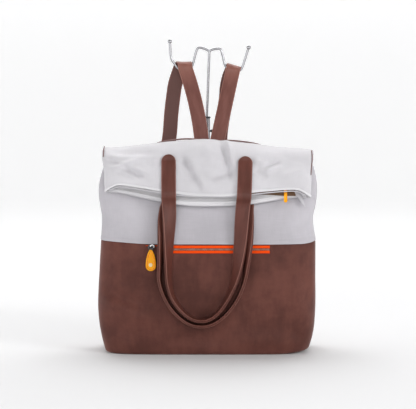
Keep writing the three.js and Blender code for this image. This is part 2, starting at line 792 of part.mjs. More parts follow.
function mouthTape() {
  const first = mouthTapeRows[0].at * flapHalf(1);
  const last = mouthTapeRows[mouthTapeRows.length - 1].at * flapHalf(1);
  const steps = 22;
  const stations = Array.from({ length: steps + 1 }, (_, i) => {
    const x = lerp(first, last, i / steps);
    const z = innerEdge(x) + mouthRise(x / flapHalf(1));
    const slope = slopeOf(mouthFloor, x, z);
    const out = (3 * seatGap + mouthTapeThickness / 2) * Math.hypot(1, slope);
    return {
      centre: new THREE.Vector3(x, mouthFloor(x, z) - out, z),
      across: new THREE.Vector3(0, slope, 1),
      width: mouthTapeWidth,
      thickness: mouthTapeThickness,
    };
  });
  return strapGeometry(stations, 0.2);
}

// The loose corner of the folded gusset, which hangs out at the mouth's right end.
function gussetTab() {
  const x = 0.925 * flapHalf(1);
  const top = outerEdge(x) + 3;
  const rest = innerEdge(x);
  const out = (2 * seatGap + gussetTabThickness / 2) * Math.hypot(1, slopeOf(mouthFloor, x, rest));
  const stations = ladder(0, 1, 0.2).map((share) => {
    const z = top - gussetTabLength * share;
    const aside = 0.3 * gussetTabLength * share;
    return {
      centre: new THREE.Vector3(x + aside, mouthFloor(x, Math.max(z, rest)) - out, z),
      across: new THREE.Vector3(1, 0, 0),
      width: gussetTabWidth * lerp(1, 0.12, share),
      thickness: gussetTabThickness,
    };
  });
  return strapGeometry(stations);
}

// A round wire through points, as a closed tube with round ends' place left to the caller.
function wireGeometry(points, radius, steps) {
  const section = new THREE.Shape();
  section.absarc(0, 0, radius, 0, 2 * Math.PI, false);
  return new THREE.ExtrudeGeometry(section, {
    steps,
    extrudePath: new THREE.CatmullRomCurve3(points, false, "centripetal"),
    curveSegments: 4,
  });
}

// The rod with both hooks welded to its top, each ending in a small ball.
function hookRod() {
  const top = new THREE.Vector3(rodTopSide, standY, rodTop);
  const mouth = new THREE.Vector3(tubeSide, standY, tubeTop);
  const low = mouth.clone().addScaledVector(new THREE.Vector3().subVectors(mouth, top).normalize(), rodPlunge);
  const pieces = [wireGeometry([low, mouth, top], wireRadius, 2)];
  for (const rows of [leftHookRows, rightHookRows]) {
    const points = rows.map(({ side, rise }) => {
      return new THREE.Vector3(hookReach * side, standY, rodTop - hookDepth * (1 - rise));
    });
    const tip = points[points.length - 1];
    pieces.push(wireGeometry([top, ...points], wireRadius, 26));
    pieces.push(new THREE.SphereGeometry(1.5 * wireRadius, 10, 7).translate(tip.x, tip.y, tip.z));
  }
  return fromSolid(joined(pieces));
}

// The stand's tube, bored for the rod, with a collar at its top and a set screw in its side.
function standTube() {
  const low = basePlate.thickness + seatGap;
  const lip = tubeRadius + collarLip;
  const profile = [
    [boreRadius, low],
    [tubeRadius, low],
    [tubeRadius, tubeTop - collarHeight],
    [lip, tubeTop - collarHeight],
    [lip, tubeTop],
    [boreRadius, tubeTop],
    [boreRadius, low],
  ].map(([radius, z]) => new THREE.Vector2(radius, z));
  const tube = new THREE.LatheGeometry(profile, 20).rotateX(Math.PI / 2);
  const middle = (boreRadius + tubeRadius + setScrew.length) / 2;
  const screw = barAlongX(setScrew.radius, tubeRadius + setScrew.length - boreRadius, 12);
  screw.translate(middle + seatGap, 0, tubeTop - setScrew.below);
  return fromSolid(joined([tube, screw])).translate(tubeSide, standY, 0);
}

function standBase() {
  const { width, depth, thickness, corner } = basePlate;
  const left = -width / 2;
  const front = 0;
  const shape = new THREE.Shape();
  shape.moveTo(left + corner, front);
  shape.lineTo(-left - corner, front);
  shape.absarc(-left - corner, front + corner, corner, -Math.PI / 2, 0, false);
  shape.lineTo(-left, depth - corner);
  shape.absarc(-left - corner, depth - corner, corner, 0, Math.PI / 2, false);
  shape.lineTo(left + corner, depth);
  shape.absarc(left + corner, depth - corner, corner, Math.PI / 2, Math.PI, false);
  shape.lineTo(left, front + corner);
  shape.absarc(left + corner, front + corner, corner, Math.PI, 1.5 * Math.PI, false);
  const geometry = new THREE.ExtrudeGeometry(shape, { depth: thickness, bevelEnabled: false, curveSegments: 5 });
  return geometry.translate(0, standY - tubeRadius - collarLip, 0);
}

const group = new THREE.Group();

function add(name, geometry, finish, position = [0, 0, 0]) {
  const mesh = new THREE.Mesh(geometry, new THREE.MeshStandardMaterial(finish));
  mesh.name = name;
  mesh.position.set(...position);
  group.add(mesh);
  return mesh;
}

add("lower_body", lowerBody(), outline.brown);
add("upper_body", upperBody(), outline.canvas);
add("back_handle", backHandle(), outline.strap);
add("front_handle", frontHandle(), outline.strap);
add("left_shoulder_strap", shoulderStrap(-1, leftStrapRows, strapEnds.left), outline.strap);
add("right_shoulder_strap", shoulderStrap(1, rightStrapRows, strapEnds.right), outline.strap);

// The front pocket's zip, its slider and its drop pull
const teethBelow = tapeWidth + teethWidth / 2;
add("pocket_tape_upper", pocketStrip(tapeWidth / 2, tapeWidth), outline.orange);
add("pocket_teeth", pocketStrip(teethBelow, teethWidth), outline.taupe);
add("pocket_tape_lower", pocketStrip(tapeWidth * 1.5 + teethWidth, tapeWidth), outline.orange);
const pocketReach = pocketKnuckle + seatGap + linkPlate;
const pocketPivotZ = seamHeight - pocketZipDrop - teethBelow + 3;
const pocketPivotOut = seatGap + tapeThickness + seatGap + sliderThickness + pocketReach + 1;
const pocketPivot = [
  (sliderAlong * pocketZipLength) / 2,
  bodyFace(pocketZipLength / 2, pocketPivotZ, -1) - pocketPivotOut,
  pocketPivotZ,
];
add(
  "pocket_slider",
  sliderGeometry(sliderLength, sliderWidth, sliderThickness, bailRadius, pocketReach),
  outline.chrome,
  pocketPivot,
);
add("pocket_pull_link", linkGeometry(), outline.chrome, pocketPivot);
add("pocket_pull_drop", dropGeometry().translate(0, 0, -dropTop), outline.yellow, pocketPivot);

// The zip in the mouth of the fold
const mouthPullAt = mouthPullAlong * flapHalf(1);
const mouthPivotZ = outerEdge(mouthPullAt) + 3;
const mouthReach = mouthKnuckleRadius + seatGap;
const mouthSlope = slopeOf(mouthFloor, mouthPullAt, mouthPivotZ);
const mouthTilt = -Math.atan(mouthSlope);
const mouthPivot = [
  mouthPullAt,
  mouthFloor(mouthPullAt, mouthPivotZ) - mouthPivotOut * Math.hypot(1, mouthSlope),
  mouthPivotZ,
];
const mouthSlider = sliderGeometry(sliderLength, 6, mouthSliderThickness, mouthBailRadius, mouthReach);
add("mouth_tape", mouthTape(), outline.umber);
add("mouth_slider", mouthSlider.rotateX(mouthTilt), outline.chrome, mouthPivot);
add("mouth_pull", mouthPullGeometry().rotateX(mouthTilt), outline.yellow, mouthPivot);
add("gusset_tab", gussetTab(), outline.canvas);

add("stand_base", standBase(), outline.chrome);
add("stand_tube", standTube(), outline.chrome);
add("hook_rod", hookRod(), outline.chrome);

// The origin goes to the middle of the whole object's base.
group.updateMatrixWorld(true);
const middle = new THREE.Box3().setFromObject(group).getCenter(new THREE.Vector3());
for (const mesh of group.children) mesh.position.y -= middle.y;
group.updateMatrixWorld(true);

export default group;
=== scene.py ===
"""A fold-over convertible backpack whose shoulder straps hang on a double hook stand.

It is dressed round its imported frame. Shapes are worked out in millimetres from the middle of the bag's base.
They become metres in the frame's own axes as each mesh is made.
"""

import logging
import math
from dataclasses import dataclass, field
from enum import Enum
from functools import cache
from typing import Any, Callable, Iterable, Sequence

import bpy
import numpy as np
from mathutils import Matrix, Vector


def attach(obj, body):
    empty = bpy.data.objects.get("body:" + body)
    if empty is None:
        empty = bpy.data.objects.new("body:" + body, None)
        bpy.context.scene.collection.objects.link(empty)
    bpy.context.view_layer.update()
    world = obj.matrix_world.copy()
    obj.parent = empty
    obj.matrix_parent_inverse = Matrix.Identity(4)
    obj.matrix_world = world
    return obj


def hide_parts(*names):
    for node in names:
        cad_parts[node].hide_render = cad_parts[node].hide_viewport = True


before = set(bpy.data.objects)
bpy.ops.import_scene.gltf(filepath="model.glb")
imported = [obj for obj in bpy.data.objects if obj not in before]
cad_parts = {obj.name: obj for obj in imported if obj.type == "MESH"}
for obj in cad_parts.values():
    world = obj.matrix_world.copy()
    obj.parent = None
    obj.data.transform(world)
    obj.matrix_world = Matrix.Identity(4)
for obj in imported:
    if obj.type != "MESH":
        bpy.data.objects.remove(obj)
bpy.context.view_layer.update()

LOG = logging.getLogger("convertible_backpack")
MM = 0.001
# How far the middle of the bag's base is from the frame's origin, along Y
BAG_SHIFT = -50.6423

Array = np.ndarray
Colour = tuple[float, float, float]
Point = tuple[float, float, float]
Pair = tuple[float, float]
Pairs = tuple[Pair, ...]
Piece = bpy.types.Object
Material = bpy.types.Material


class Body(Enum):
    """The bodies of the frame that pieces ride on."""

    BAG = "bag"
    POCKET_PULL = "pocket_pull"
    MOUTH_PULL = "mouth_zip_pull"


class Side(Enum):
    """The wearer's side as the viewer sees it, by the sign of X."""

    LEFT = -1
    RIGHT = 1


# Smooth curves and relief


@dataclass(frozen=True)
class Profile:
    """A smooth curve through the knots of a table."""

    knots: tuple[float, ...]
    values: tuple[float, ...]

    def __call__(self, where: Array | float) -> Array:
        """Reads the curve.

        Args:
            where: places along the knots, held to their range.

        Returns:
            The curve's values there.
        """
        knots, values = np.array(self.knots, float), np.array(self.values, float)
        last = len(knots) - 1
        place = np.clip(np.asarray(where, float), knots[0], knots[-1])
        i = np.clip(np.searchsorted(knots, place, side="right") - 1, 0, last - 1)
        index = np.arange(last + 1)
        after, before = np.minimum(index + 1, last), np.maximum(index - 1, 0)
        slopes = (values[after] - values[before]) / (knots[after] - knots[before])
        span = knots[i + 1] - knots[i]
        t = (place - knots[i]) / span
        rise = (values[i + 1] - values[i]) * t * t * (3 - 2 * t)
        leave = slopes[i] * span * t * (1 - t) ** 2
        arrive = slopes[i + 1] * span * t * t * (1 - t)
        return values[i] + rise + leave - arrive


def lerp(a: Any, b: Any, t: Any) -> Any:
    """Goes from a to b as t goes from 0 to 1."""
    return a + (b - a) * t


def smooth(low: float, high: float, value: Array | float) -> Array:
    """Rises softly from 0 at low to 1 at high."""
    t = np.clip((np.asarray(value, float) - low) / (high - low), 0, 1)
    return t * t * (3 - 2 * t)


@dataclass(frozen=True)
class Crease:
    """A soft ridge or dent between two places on a face, given as x and height."""

    start: Pair
    end: Pair
    width: float
    height: float

    def __call__(self, x: Array, z: Array) -> Array:
        """Gives the crease's height.

        Args:
            x: places across the face.
            z: their heights.

        Returns:
            How far the face stands out at each place.
        """
        (ax, az), (bx, bz) = self.start, self.end
        run = math.hypot(bx - ax, bz - az)
        ux, uz = (bx - ax) / run, (bz - az) / run
        along = ((x - ax) * ux + (z - az) * uz) / run
        off = (x - ax) * uz - (z - az) * ux
        fade = smooth(*CREASE_FADE, along) * smooth(1 - CREASE_FADE[0], 1 - CREASE_FADE[1], along)
        return self.height * fade * np.exp(-((off / self.width) ** 2))


# Where a crease starts and where it is full, as shares of its run
CREASE_FADE = (-0.18, 0.25)


def relief_of(creases: Iterable[Crease], x: Array, z: Array) -> Array:
    """Adds up creases.

    Args:
        creases: the creases.
        x: places across the face.
        z: their heights.

    Returns:
        How far the face stands out at each place.
    """
    total = np.zeros(np.broadcast(x, z).shape)
    for crease in creases:
        total = total + crease(x, z)
    return total


@dataclass(frozen=True)
class Waves:
    """Slow uneven waves of cloth: this many over each other, each stretched by its own share."""

    length: float
    height: float
    seed: int
    count: int = 9
    stretch: Pair = (0.7, 1.7)

    def __call__(self, x: Array, z: Array) -> Array:
        """Gives the waves' height.

        Args:
            x: places across the face.
            z: their heights.

        Returns:
            How far the face stands out at each place.
        """
        rng = np.random.default_rng(self.seed)
        angles = rng.uniform(0, math.pi, self.count)
        phases = rng.uniform(0, 2 * math.pi, self.count)
        stretches = rng.uniform(*self.stretch, self.count)
        total = np.zeros(np.broadcast(x, z).shape)
        for angle, phase, stretch in zip(angles, phases, stretches):
            k = 2 * math.pi / (self.length * stretch)
            total = total + np.sin(k * (x * math.cos(angle) + z * math.sin(angle)) + phase)
        return self.height * total / math.sqrt(self.count)


FLAP_WAVES = (Waves(55, 0.7, 3), Waves(22, 0.2, 5))
FRONT_WAVES = Waves(75, 0.7, 11)
BACK_WAVES = Waves(110, 0.7, 23)


# The bag's form

# Where its walls and its edges are given: shares of the shoulder's height, and of half the fold's width
WALL_KNOTS = (0, 0.008, 0.03, 0.09, 0.15, 0.25, 0.43, 0.57, 0.69, 0.77, 0.85, 0.94, 1)
EDGE_KNOTS = (-1, -0.9, -0.75, -0.45, -0.2, 0, 0.25, 0.45, 0.77, 0.9, 1)


@dataclass(frozen=True)
class BagForm:
    """The form of the bag's cloth, in millimetres.

    Args:
        shoulder: the height where the fold starts.
        tuck: how far the gussets are pushed in at the shoulder.
        inner_rise: how far the inner layer rises in the fold.
        under_gap: from the body's front to the flap.
        flap_thickness: from the flap's inner layer to its outer face.
        flap_shares: the flap's width at its top and its edge, as shares of the body's.
        flare: how far the flap stands out towards its edge.
        held: where the flare is held back: its middle, its spread and its share.
        zip_sides: x where the flat place round the zip ends and where it is flat, as for its heights.
        back_side: from the back's edge, and x, for its sides in the same way.
        half_share: the half width by height, and so on for the other profiles.
    """

    width: float = 400
    depth: float = 138
    seam: float = 200
    shoulder: float = 350
    fold: float = 387
    drop: float = 100
    wall: float = 1.8
    tuck: float = 16
    inner_rise: float = 8
    under_gap: float = 6.2
    flap_thickness: float = 13.0
    body_exponent: float = 5
    flap_exponent: float = 8
    flap_shares: Pair = (0.955, 0.893)
    fold_strength: float = 1.7
    flare: float = 8.5
    flare_range: Pair = (352, 306)
    held: Point = (4, 46, 0.65)
    flap_side: float = 14
    front_strength: float = 1.5
    zip_sides: Pair = (130, 105)
    zip_low: Pair = (170, 182)
    zip_high: Pair = (212, 200)
    front_foot: Pair = (4, 30)
    back_foot: Pair = (4, 40)
    back_side: Pair = (10, 150)
    back_sag: float = 0.8
    back_bulge: float = 0.96
    post_gap: float = 10
    half_share: Profile = Profile(
        WALL_KNOTS,
        (0.905, 0.93, 0.945, 0.97, 0.988, 1, 0.992, 0.983, 0.976, 0.987, 0.999, 0.998, 0.985),
    )
    front_share: Profile = Profile(
        WALL_KNOTS,
        (0.88, 0.93, 0.955, 0.975, 0.985, 1, 0.995, 0.955, 0.88, 0.8, 0.68, 0.48, 0.34),
    )
    back_share: Profile = Profile(
        WALL_KNOTS,
        (0.77, 0.84, 0.9, 0.94, 0.955, 0.96, 0.945, 0.915, 0.87, 0.83, 0.77, 0.66, 0.57),
    )
    left_side: Profile = Profile(
        (0, 0.3, 0.5, 0.57, 0.7, 0.8, 0.87, 0.93, 1),
        (1, 1, 0.99, 0.988, 0.993, 1.012, 1.014, 1.002, 0.985),
    )
    right_side: Profile = Profile(
        (0, 0.1, 0.36, 0.5, 0.57, 0.69, 0.78, 0.87, 0.93, 1),
        (0.99, 0.986, 0.986, 0.992, 0.996, 0.986, 1.01, 1.02, 1.016, 1.006),
    )
    seam_shift: Profile = Profile((-1, -0.8, -0.55, 0, 0.82, 0.92, 1), (6, 3.8, 0.8, 0, 0, 1.8, 6.5))
    top_share: Profile = Profile(
        EDGE_KNOTS,
        (0.964, 0.965, 0.97, 0.985, 0.997, 1, 0.988, 0.977, 0.96, 0.956, 0.953),
    )
    outer_share: Profile = Profile(
        EDGE_KNOTS,
        (0.92, 0.835, 0.854, 0.937, 0.988, 1, 1, 0.957, 0.908, 0.917, 1.02),
    )
    inner_share: Profile = Profile(
        EDGE_KNOTS,
        (0.935, 0.945, 0.995, 1.105, 1.165, 1.175, 1.165, 1.135, 1.05, 1.026, 1.035),
    )

    def half_width(self, z: Array) -> Array:
        """Half the body's width at a height."""
        return self.width / 2 * self.half_share(np.asarray(z) / self.shoulder)

    def front_y(self, z: Array) -> Array:
        """The front wall's middle at a height."""
        return -self.depth / 2 * self.front_share(np.asarray(z) / self.shoulder)

    def back_y(self, z: Array) -> Array:
        """The back wall's middle at a height."""
        return self.depth / 2 * self.back_share(np.asarray(z) / self.shoulder)

    def flap_half(self, down: float) -> float:
        """Half the flap's width, from 0 at its top to 1 at its edge."""
        return self.width / 2 * lerp(*self.flap_shares, down)

    def fold_top(self, x: Array) -> Array:
        """The height of the fold's crest."""
        return self.fold * self.top_share(np.asarray(x) / self.flap_half(0))

    def outer_edge(self, x: Array) -> Array:
        """The height of the outer layer's edge."""
        return self.fold - self.drop * self.outer_share(np.asarray(x) / self.flap_half(1))

    def inner_edge(self, x: Array) -> Array:
        """The height of the inner layer's edge."""
        return self.fold - self.drop * self.inner_share(np.asarray(x) / self.flap_half(1))

    def post_y(self) -> float:
        """How far back the stand's post is."""
        return self.depth / 2 * self.back_bulge + self.post_gap

    def face(self, x: Array, z: Array, side: float) -> Array:
        """The outer face of the body.

        Args:
            x: places across.
            z: their heights.
            side: -1 for the front wall, 1 for the back wall.

        Returns:
            How far back the face is at each place.
        """
        share = np.minimum(np.abs(x / self.half_width(z)), 1)
        out = side * (1 - share**self.body_exponent) ** (1 / self.body_exponent)
        return lerp(self.front_y(z), self.back_y(z), (out + 1) / 2)

    def flap_under(self, x: Array, z: Array) -> Array:
        """The flap's face towards the body."""
        return self.face(x, z, -1) - self.under_gap

    def flap_face(self, x: Array, z: Array) -> Array:
        """The flap's outer face."""
        return self.flap_under(x, z) - self.flap_thickness

    def mouth_floor(self, x: Array, z: Array) -> Array:
        """The inner layer's face inside the mouth."""
        return self.flap_under(x, z) - self.wall

    def dome_face(self, x: Array, z: Array) -> Array:
        """The fold's outer face above the shoulder, on its front side.

        Args:
            x: places across.
            z: their heights.

        Returns:
            How far back the face is at each place.
        """
        front, back = self.flap_face(x, self.shoulder), self.back_y(self.shoulder)
        rise = np.minimum((z - self.shoulder) / (self.fold_top(x) - self.shoulder), 1)
        return (front + back) / 2 + (front - back) / 2 * np.sqrt(1 - rise * rise)

    def shown_face(self, x: Array, z: Array) -> Array:
        """The flap's outer face with its relief, as what is sewn on it finds it.

        Args:
            x: places across.
            z: their heights.

        Returns:
            How far back the face is at each place.
        """
        x, z = np.asarray(x, float), np.asarray(z, float)
        hanging = self.flap_face(x, np.minimum(z, self.shoulder))
        plain = np.where(z > self.shoulder, self.dome_face(x, z), hanging)
        return plain - self.flap_relief(x, z)

    def flap_relief(self, x: Array, z: Array) -> Array:
        """The folds in the flap's outer layer.

        Args:
            x: places across.
            z: their heights.

        Returns:
            How far the cloth stands out at each place.
        """
        shape = self.fold_strength * relief_of(FLAP_CREASES, x, z)
        for waves in FLAP_WAVES:
            shape = shape + waves(x, z)
        middle, spread, share = self.held
        held = share * np.exp(-(((x - middle) / spread) ** 2))
        shape = shape + self.flare * smooth(*self.flare_range, z) * (1 - held)
        return shape * smooth(self.flap_half(0), self.flap_half(0) - self.flap_side, np.abs(x))

    def front_relief(self, x: Array, z: Array) -> Array:
        """The dents in the body's front, which is flat round the zip.

        Args:
            x: places across.
            z: their heights.

        Returns:
            How far the cloth stands out at each place.
        """
        shape = self.front_strength * relief_of(FRONT_CREASES, x, z) + FRONT_WAVES(x, z)
        near_zip = smooth(*self.zip_sides, np.abs(x)) * smooth(*self.zip_low, z) * smooth(*self.zip_high, z)
        return shape * (1 - near_zip) * smooth(*self.front_foot, z)

    def back_relief(self, x: Array, z: Array) -> Array:
        """The slow waves in the body's back."""
        shape = (BACK_WAVES(x, z) - self.back_sag) * smooth(*self.back_foot, z)
        return shape * smooth(self.width / 2 - self.back_side[0], self.back_side[1], np.abs(x))


FLAP_CREASES = (
    Crease((22, 384), (42, 318), 5, -3.4), Crease((33, 383), (47, 344), 5, 4.2),
    Crease((-48, 354), (-11, 296), 7, -3.2), Crease((-38, 360), (-2, 302), 8, 3.0),
    Crease((-9, 376), (12, 350), 9, 2.8), Crease((-34, 352), (20, 350), 13, 3.2),
    Crease((-40, 326), (60, 322), 12, -2.2), Crease((6, 319), (46, 332), 7, -2.2),
    Crease((-178, 367), (-92, 365), 8, -4.2), Crease((-171, 334), (-122, 351), 6, 3.8),
    Crease((-180, 352), (-158, 340), 5, -2.6), Crease((-158, 341), (-118, 320), 5, -3.6),
    Crease((-140, 338), (-104, 322), 5, 2.4), Crease((-160, 328), (-136, 314), 5, -1.8),
    Crease((-98, 340), (-84, 357), 6, 1.8), Crease((84, 350), (106, 342), 5, 3.4),
    Crease((104, 328), (129, 339), 5, 2.8), Crease((103, 338), (129, 348), 4, -2.8),
    Crease((86, 332), (102, 317), 6, -2.2), Crease((130, 360), (178, 348), 8, -2.4),
    Crease((130, 320), (172, 330), 7, 2.6),
)

FRONT_CREASES = (
    Crease((-192, 120), (-118, 92), 10, -3.4), Crease((-188, 96), (-112, 66), 11, 3.2),
    Crease((-190, 150), (-136, 128), 10, -1.5), Crease((-186, 60), (-130, 34), 12, -1.6),
    Crease((170, 150), (196, 60), 14, -1.6), Crease((150, 40), (186, 16), 10, -1.4),
    Crease((-60, 30), (40, 24), 14, -1.2), Crease((50, 16), (190, 12), 26, 2.6),
    Crease((-150, 250), (-150, 206), 16, -1.3), Crease((176, 262), (150, 214), 12, -1.4),
    Crease((30, 262), (20, 210), 18, -1.0),
)


@dataclass(frozen=True)
class Sheet:
    """Rings of points on the cloth, with what each belongs to.

    Args:
        points: the points, by ring and by place round it.
        out: -1 at the front panel, 1 at the back panel.
        flap: 0 on the body, 1 where the cloth hangs down again in front.
    """

    points: Array
    out: Array
    flap: Array


def normals_of(points: Array) -> Array:
    """The outward directions of rings of points.

    Args:
        points: the points, by ring and by place round it.

    Returns:
        A direction of length 1 for each point.
    """
    along = np.gradient(points, axis=0)
    around = np.roll(points, -1, axis=1) - np.roll(points, 1, axis=1)
    normal = np.cross(around, along)
    return normal / np.maximum(np.linalg.norm(normal, axis=2, keepdims=True), 1e-9)


def turns_of(count: int) -> Array:
    """The angles of this many places round a circle."""
    return 2 * math.pi * np.arange(count) / count


Ring = tuple[Array, Array]
Panel = Callable[[Array], tuple[Any, Any]]


class Loom:
    """Lays the bag's cloth out as rings. A ring is its points, and how far each is to the back."""

    def __init__(self, form: BagForm, count: int) -> None:
        """Starts a loom."""
        self.form = form
        self.c, self.s = np.cos(turns_of(count)), np.sin(turns_of(count))

    def ring(
        self, half: float, square: float, tuck: float, level: float | None, front: Panel, back: Panel
    ) -> Ring:
        """One ring of the cloth.

        Args:
            half: half its width.
            square: how square it is.
            tuck: how far the gussets are pushed in.
            level: its height on the body, for the two sides' own outlines, or None.
            front: gives y and z of the front panel at x.
            back: gives y and z of the back panel at x.

        Returns:
            The ring.
        """
        reach = (np.abs(self.c) ** square + np.abs(self.s) ** square) ** (-1 / square)
        out = reach * self.s
        x = half * reach * self.c - np.sign(self.c) * tuck * (1 - out * out) ** 2
        if level is not None:
            share = level / self.form.shoulder
            x = x * np.where(x < 0, self.form.left_side(share), self.form.right_side(share))
        (fy, fz), (by, bz) = front(x), back(x)
        mix = (out + 1) / 2
        return np.stack([x, lerp(fy, by, mix) + 0 * x, lerp(fz, bz, mix) + 0 * x], axis=1), out

    def body(self, z: float) -> Ring:
        """Lays a ring of the body.

        Args:
            z: its height.

        Returns:
            The ring.
        """
        f = self.form
        rise = min(max((z - f.seam) / (f.shoulder - f.seam), 0), 1)
        half, tuck, walls = float(f.half_width(z)), f.tuck * rise * rise, (f.front_y(z), f.back_y(z))
        return self.ring(half, f.body_exponent, tuck, z, lambda x: (walls[0], z), lambda x: (walls[1], z))

    def fold(self, turn: float) -> Ring:
        """Lays a ring over the fold.

        Args:
            turn: how far round the fold it is, from 0 to a half circle.

        Returns:
            The ring.
        """
        f = self.form
        sweep, bulge = (1 - math.cos(turn)) / 2, math.sin(turn)

        def inner(x: Array) -> tuple[Array, float]:
            """The inner layer's place at x."""
            y = lerp(f.front_y(f.shoulder), f.flap_under(x, f.shoulder), sweep)
            return y, f.shoulder + f.inner_rise * bulge

        def outer(x: Array) -> tuple[Array, Array]:
            """The outer layer's place at x."""
            y = lerp(f.back_y(f.shoulder), f.flap_face(x, f.shoulder), sweep)
            return y, f.shoulder + (f.fold_top(x) - f.shoulder) * bulge

        half = lerp(float(f.half_width(f.shoulder)), f.flap_half(0), sweep)
        square = lerp(f.body_exponent, f.flap_exponent, sweep)
        points, out = self.ring(half, square, f.tuck * (1 - sweep) ** 2, None, inner, outer)
        points[:, 0] *= lerp(np.where(points[:, 0] < 0, f.left_side(1), f.right_side(1)), 1, sweep)
        return points, out

    def flap(self, down: float) -> Ring:
        """Lays a ring of the flap.

        Args:
            down: how far down it is, from 0 at the shoulder to 1 at the edge.

        Returns:
            The ring.
        """
        f = self.form

        def inner(x: Array) -> tuple[Array, Array]:
            """The inner layer's place at x."""
            z = lerp(f.shoulder, f.inner_edge(x), down)
            return f.flap_under(x, z), z

        def outer(x: Array) -> tuple[Array, Array]:
            """The outer layer's place at x."""
            z = lerp(f.shoulder, f.outer_edge(x), down)
            return f.flap_face(x, z), z

        return self.ring(f.flap_half(down), f.flap_exponent, 0, None, inner, outer)

    def sheet(self, rings: Sequence[Ring], flap: Sequence[float]) -> Sheet:
        """Gathers rings into a sheet.

        Args:
            rings: the rings.
            flap: how much each belongs to the flap.

        Returns:
            The sheet.
        """
        points = np.stack([ring[0] for ring in rings])
        out = np.stack([ring[1] for ring in rings])
        return Sheet(points, out, np.repeat(np.array(flap, float)[:, None], out.shape[1], axis=1))


# Meshes


@dataclass
class Mould:
    """Collects the points and faces of one piece, with a flat layout for its finish."""

    points: list[Array] = field(default_factory=list)
    faces: list[list[int]] = field(default_factory=list)
    flats: list[list[Pair]] = field(default_factory=list)
    count: int = 0

    def add_points(self, points: Array) -> int:
        """Adds points.

        Args:
            points: the points.

        Returns:
            The number of the first.
        """
        start = self.count
        self.points.append(np.asarray(points, float).reshape(-1, 3))
        self.count += len(self.points[-1])
        return start

    def add_face(self, face: Sequence[int], flat: Sequence[Pair] | None = None) -> None:
        """Adds one face, with the flat place of each corner."""
        self.faces.append(list(face))
        self.flats.append(list(flat) if flat else [(0.0, 0.0)] * len(face))

    def add_grid(self, points: Array, u: Array, v: Array, closed: bool = True, flip: bool = False) -> int:
        """Adds rings of points and the faces between them.

        Args:
            points: the points, by ring and by place round it.
            u: flat places round a ring, one more than its points where it is closed.
            v: flat places along the rings.
            closed: whether each ring closes on itself.
            flip: whether the faces turn the other way.

        Returns:
            The number of the first point.
        """
        rows, columns = points.shape[:2]
        start = self.add_points(points)
        around = columns if closed else columns - 1
        for r in range(rows - 1):
            low, high = start + r * columns, start + (r + 1) * columns
            for c in range(around):
                n = (c + 1) % columns
                face = [low + c, low + n, high + n, high + c]
                flat = [(u[c], v[r]), (u[c + 1], v[r]), (u[c + 1], v[r + 1]), (u[c], v[r + 1])]
                self.add_face(face[::-1] if flip else face, flat[::-1] if flip else flat)
        return start

    def join(self, first: int, second: int, count: int) -> None:
        """Joins two closed rings of points by faces.

        Args:
            first: the number of the first ring's first point.
            second: that of the second ring's.
            count: how many points each has.
        """
        for c in range(count):
            n = (c + 1) % count
            self.add_face([first + c, first + n, second + n, second + c])

    def cap(self, start: int, rows: int, count: int) -> None:
        """Closes both ends of a grid of rings with flat faces.

        Args:
            start: the number of the grid's first point.
            rows: how many rings it has.
            count: how many points each has.
        """
        last = start + (rows - 1) * count
        self.add_face(range(start + count - 1, start - 1, -1))
        self.add_face(range(last, last + count))

    def make(self, name: str, crisp: float = 40, shift: float = BAG_SHIFT) -> Piece:
        """Makes the piece.

        Args:
            name: the piece's name.
            crisp: the angle in degrees from which an edge stays sharp.
            shift: how far to move it along Y, in millimetres.

        Returns:
            The new object, in metres.
        """
        mesh = bpy.data.meshes.new(name)
        points = (np.concatenate(self.points) + np.array([0, shift, 0])) * MM
        mesh.from_pydata(points.tolist(), [], self.faces)
        layer = mesh.uv_layers.new(name="flat")
        layer.data.foreach_set("uv", (np.array([p for flat in self.flats for p in flat]) * MM).ravel())
        mesh.validate()
        mesh.shade_smooth()
        mesh.set_sharp_from_angle(angle=math.radians(crisp))
        piece = bpy.data.objects.new(name, mesh)
        bpy.context.collection.objects.link(piece)
        return piece


def lengths_along(points: Array) -> Array:
    """The distance of each point from the first, along a line of points."""
    return np.concatenate([[0], np.cumsum(np.linalg.norm(np.diff(points, axis=0), axis=1))])


# The rolled edge of cloth: how far its lip stands out, where it turns and how far it swells
LIP_OUT, LIP_TURN, LIP_SWELL = 0.45, 0.72, 0.12


def shell(name: str, rings: Array, wall: float, closed_base: bool) -> Piece:
    """A cloth wall with rolled edges whose outer face passes through the rings.

    Args:
        name: the piece's name.
        rings: the outer points, by ring and by place round it.
        wall: the cloth's thickness.
        closed_base: whether the first ring is closed by a flat base.

    Returns:
        The piece.
    """
    normal = normals_of(rings)
    inner = rings - normal * wall
    end = rings[-1] - rings[-2]
    end = end / np.linalg.norm(end, axis=1, keepdims=True)
    lip = (rings[-1] + inner[-1]) / 2 + end * wall * LIP_OUT
    swell = normal[-1] * wall * LIP_SWELL
    rows = [*rings, lerp(rings[-1], lip, LIP_TURN) + swell, lip, lerp(inner[-1], lip, LIP_TURN) - swell]
    grid = np.stack([*rows, *inner[::-1]])
    columns = rings.shape[1]
    mould = Mould()
    around = lengths_along(np.concatenate([rings[0], rings[0][:1]]))
    start = mould.add_grid(grid, around, lengths_along(grid[:, columns // 4]))
    last = start + (len(grid) - 1) * columns
    if not closed_base:
        mould.join(last, start, columns)
        return mould.make(name, crisp=60)
    for first, ring, flip in ((start, grid[0], True), (last, grid[-1], False)):
        centre = mould.add_points(ring.mean(axis=0))
        for c in range(columns):
            a, b = first + c, first + (c + 1) % columns
            mould.add_face([centre, b, a] if flip else [centre, a, b], [(0, 0), (1, 0), (1, 1)])
    return mould.make(name, crisp=60)


@dataclass(frozen=True)
class Station:
    """A place along a strap.

    Args:
        centre: the strap's middle.
        turn: the direction across it, in degrees about Z.
        lean: how far that direction tilts up, in degrees.
    """

    centre: Point
    turn: float = 0
    lean: float = 0


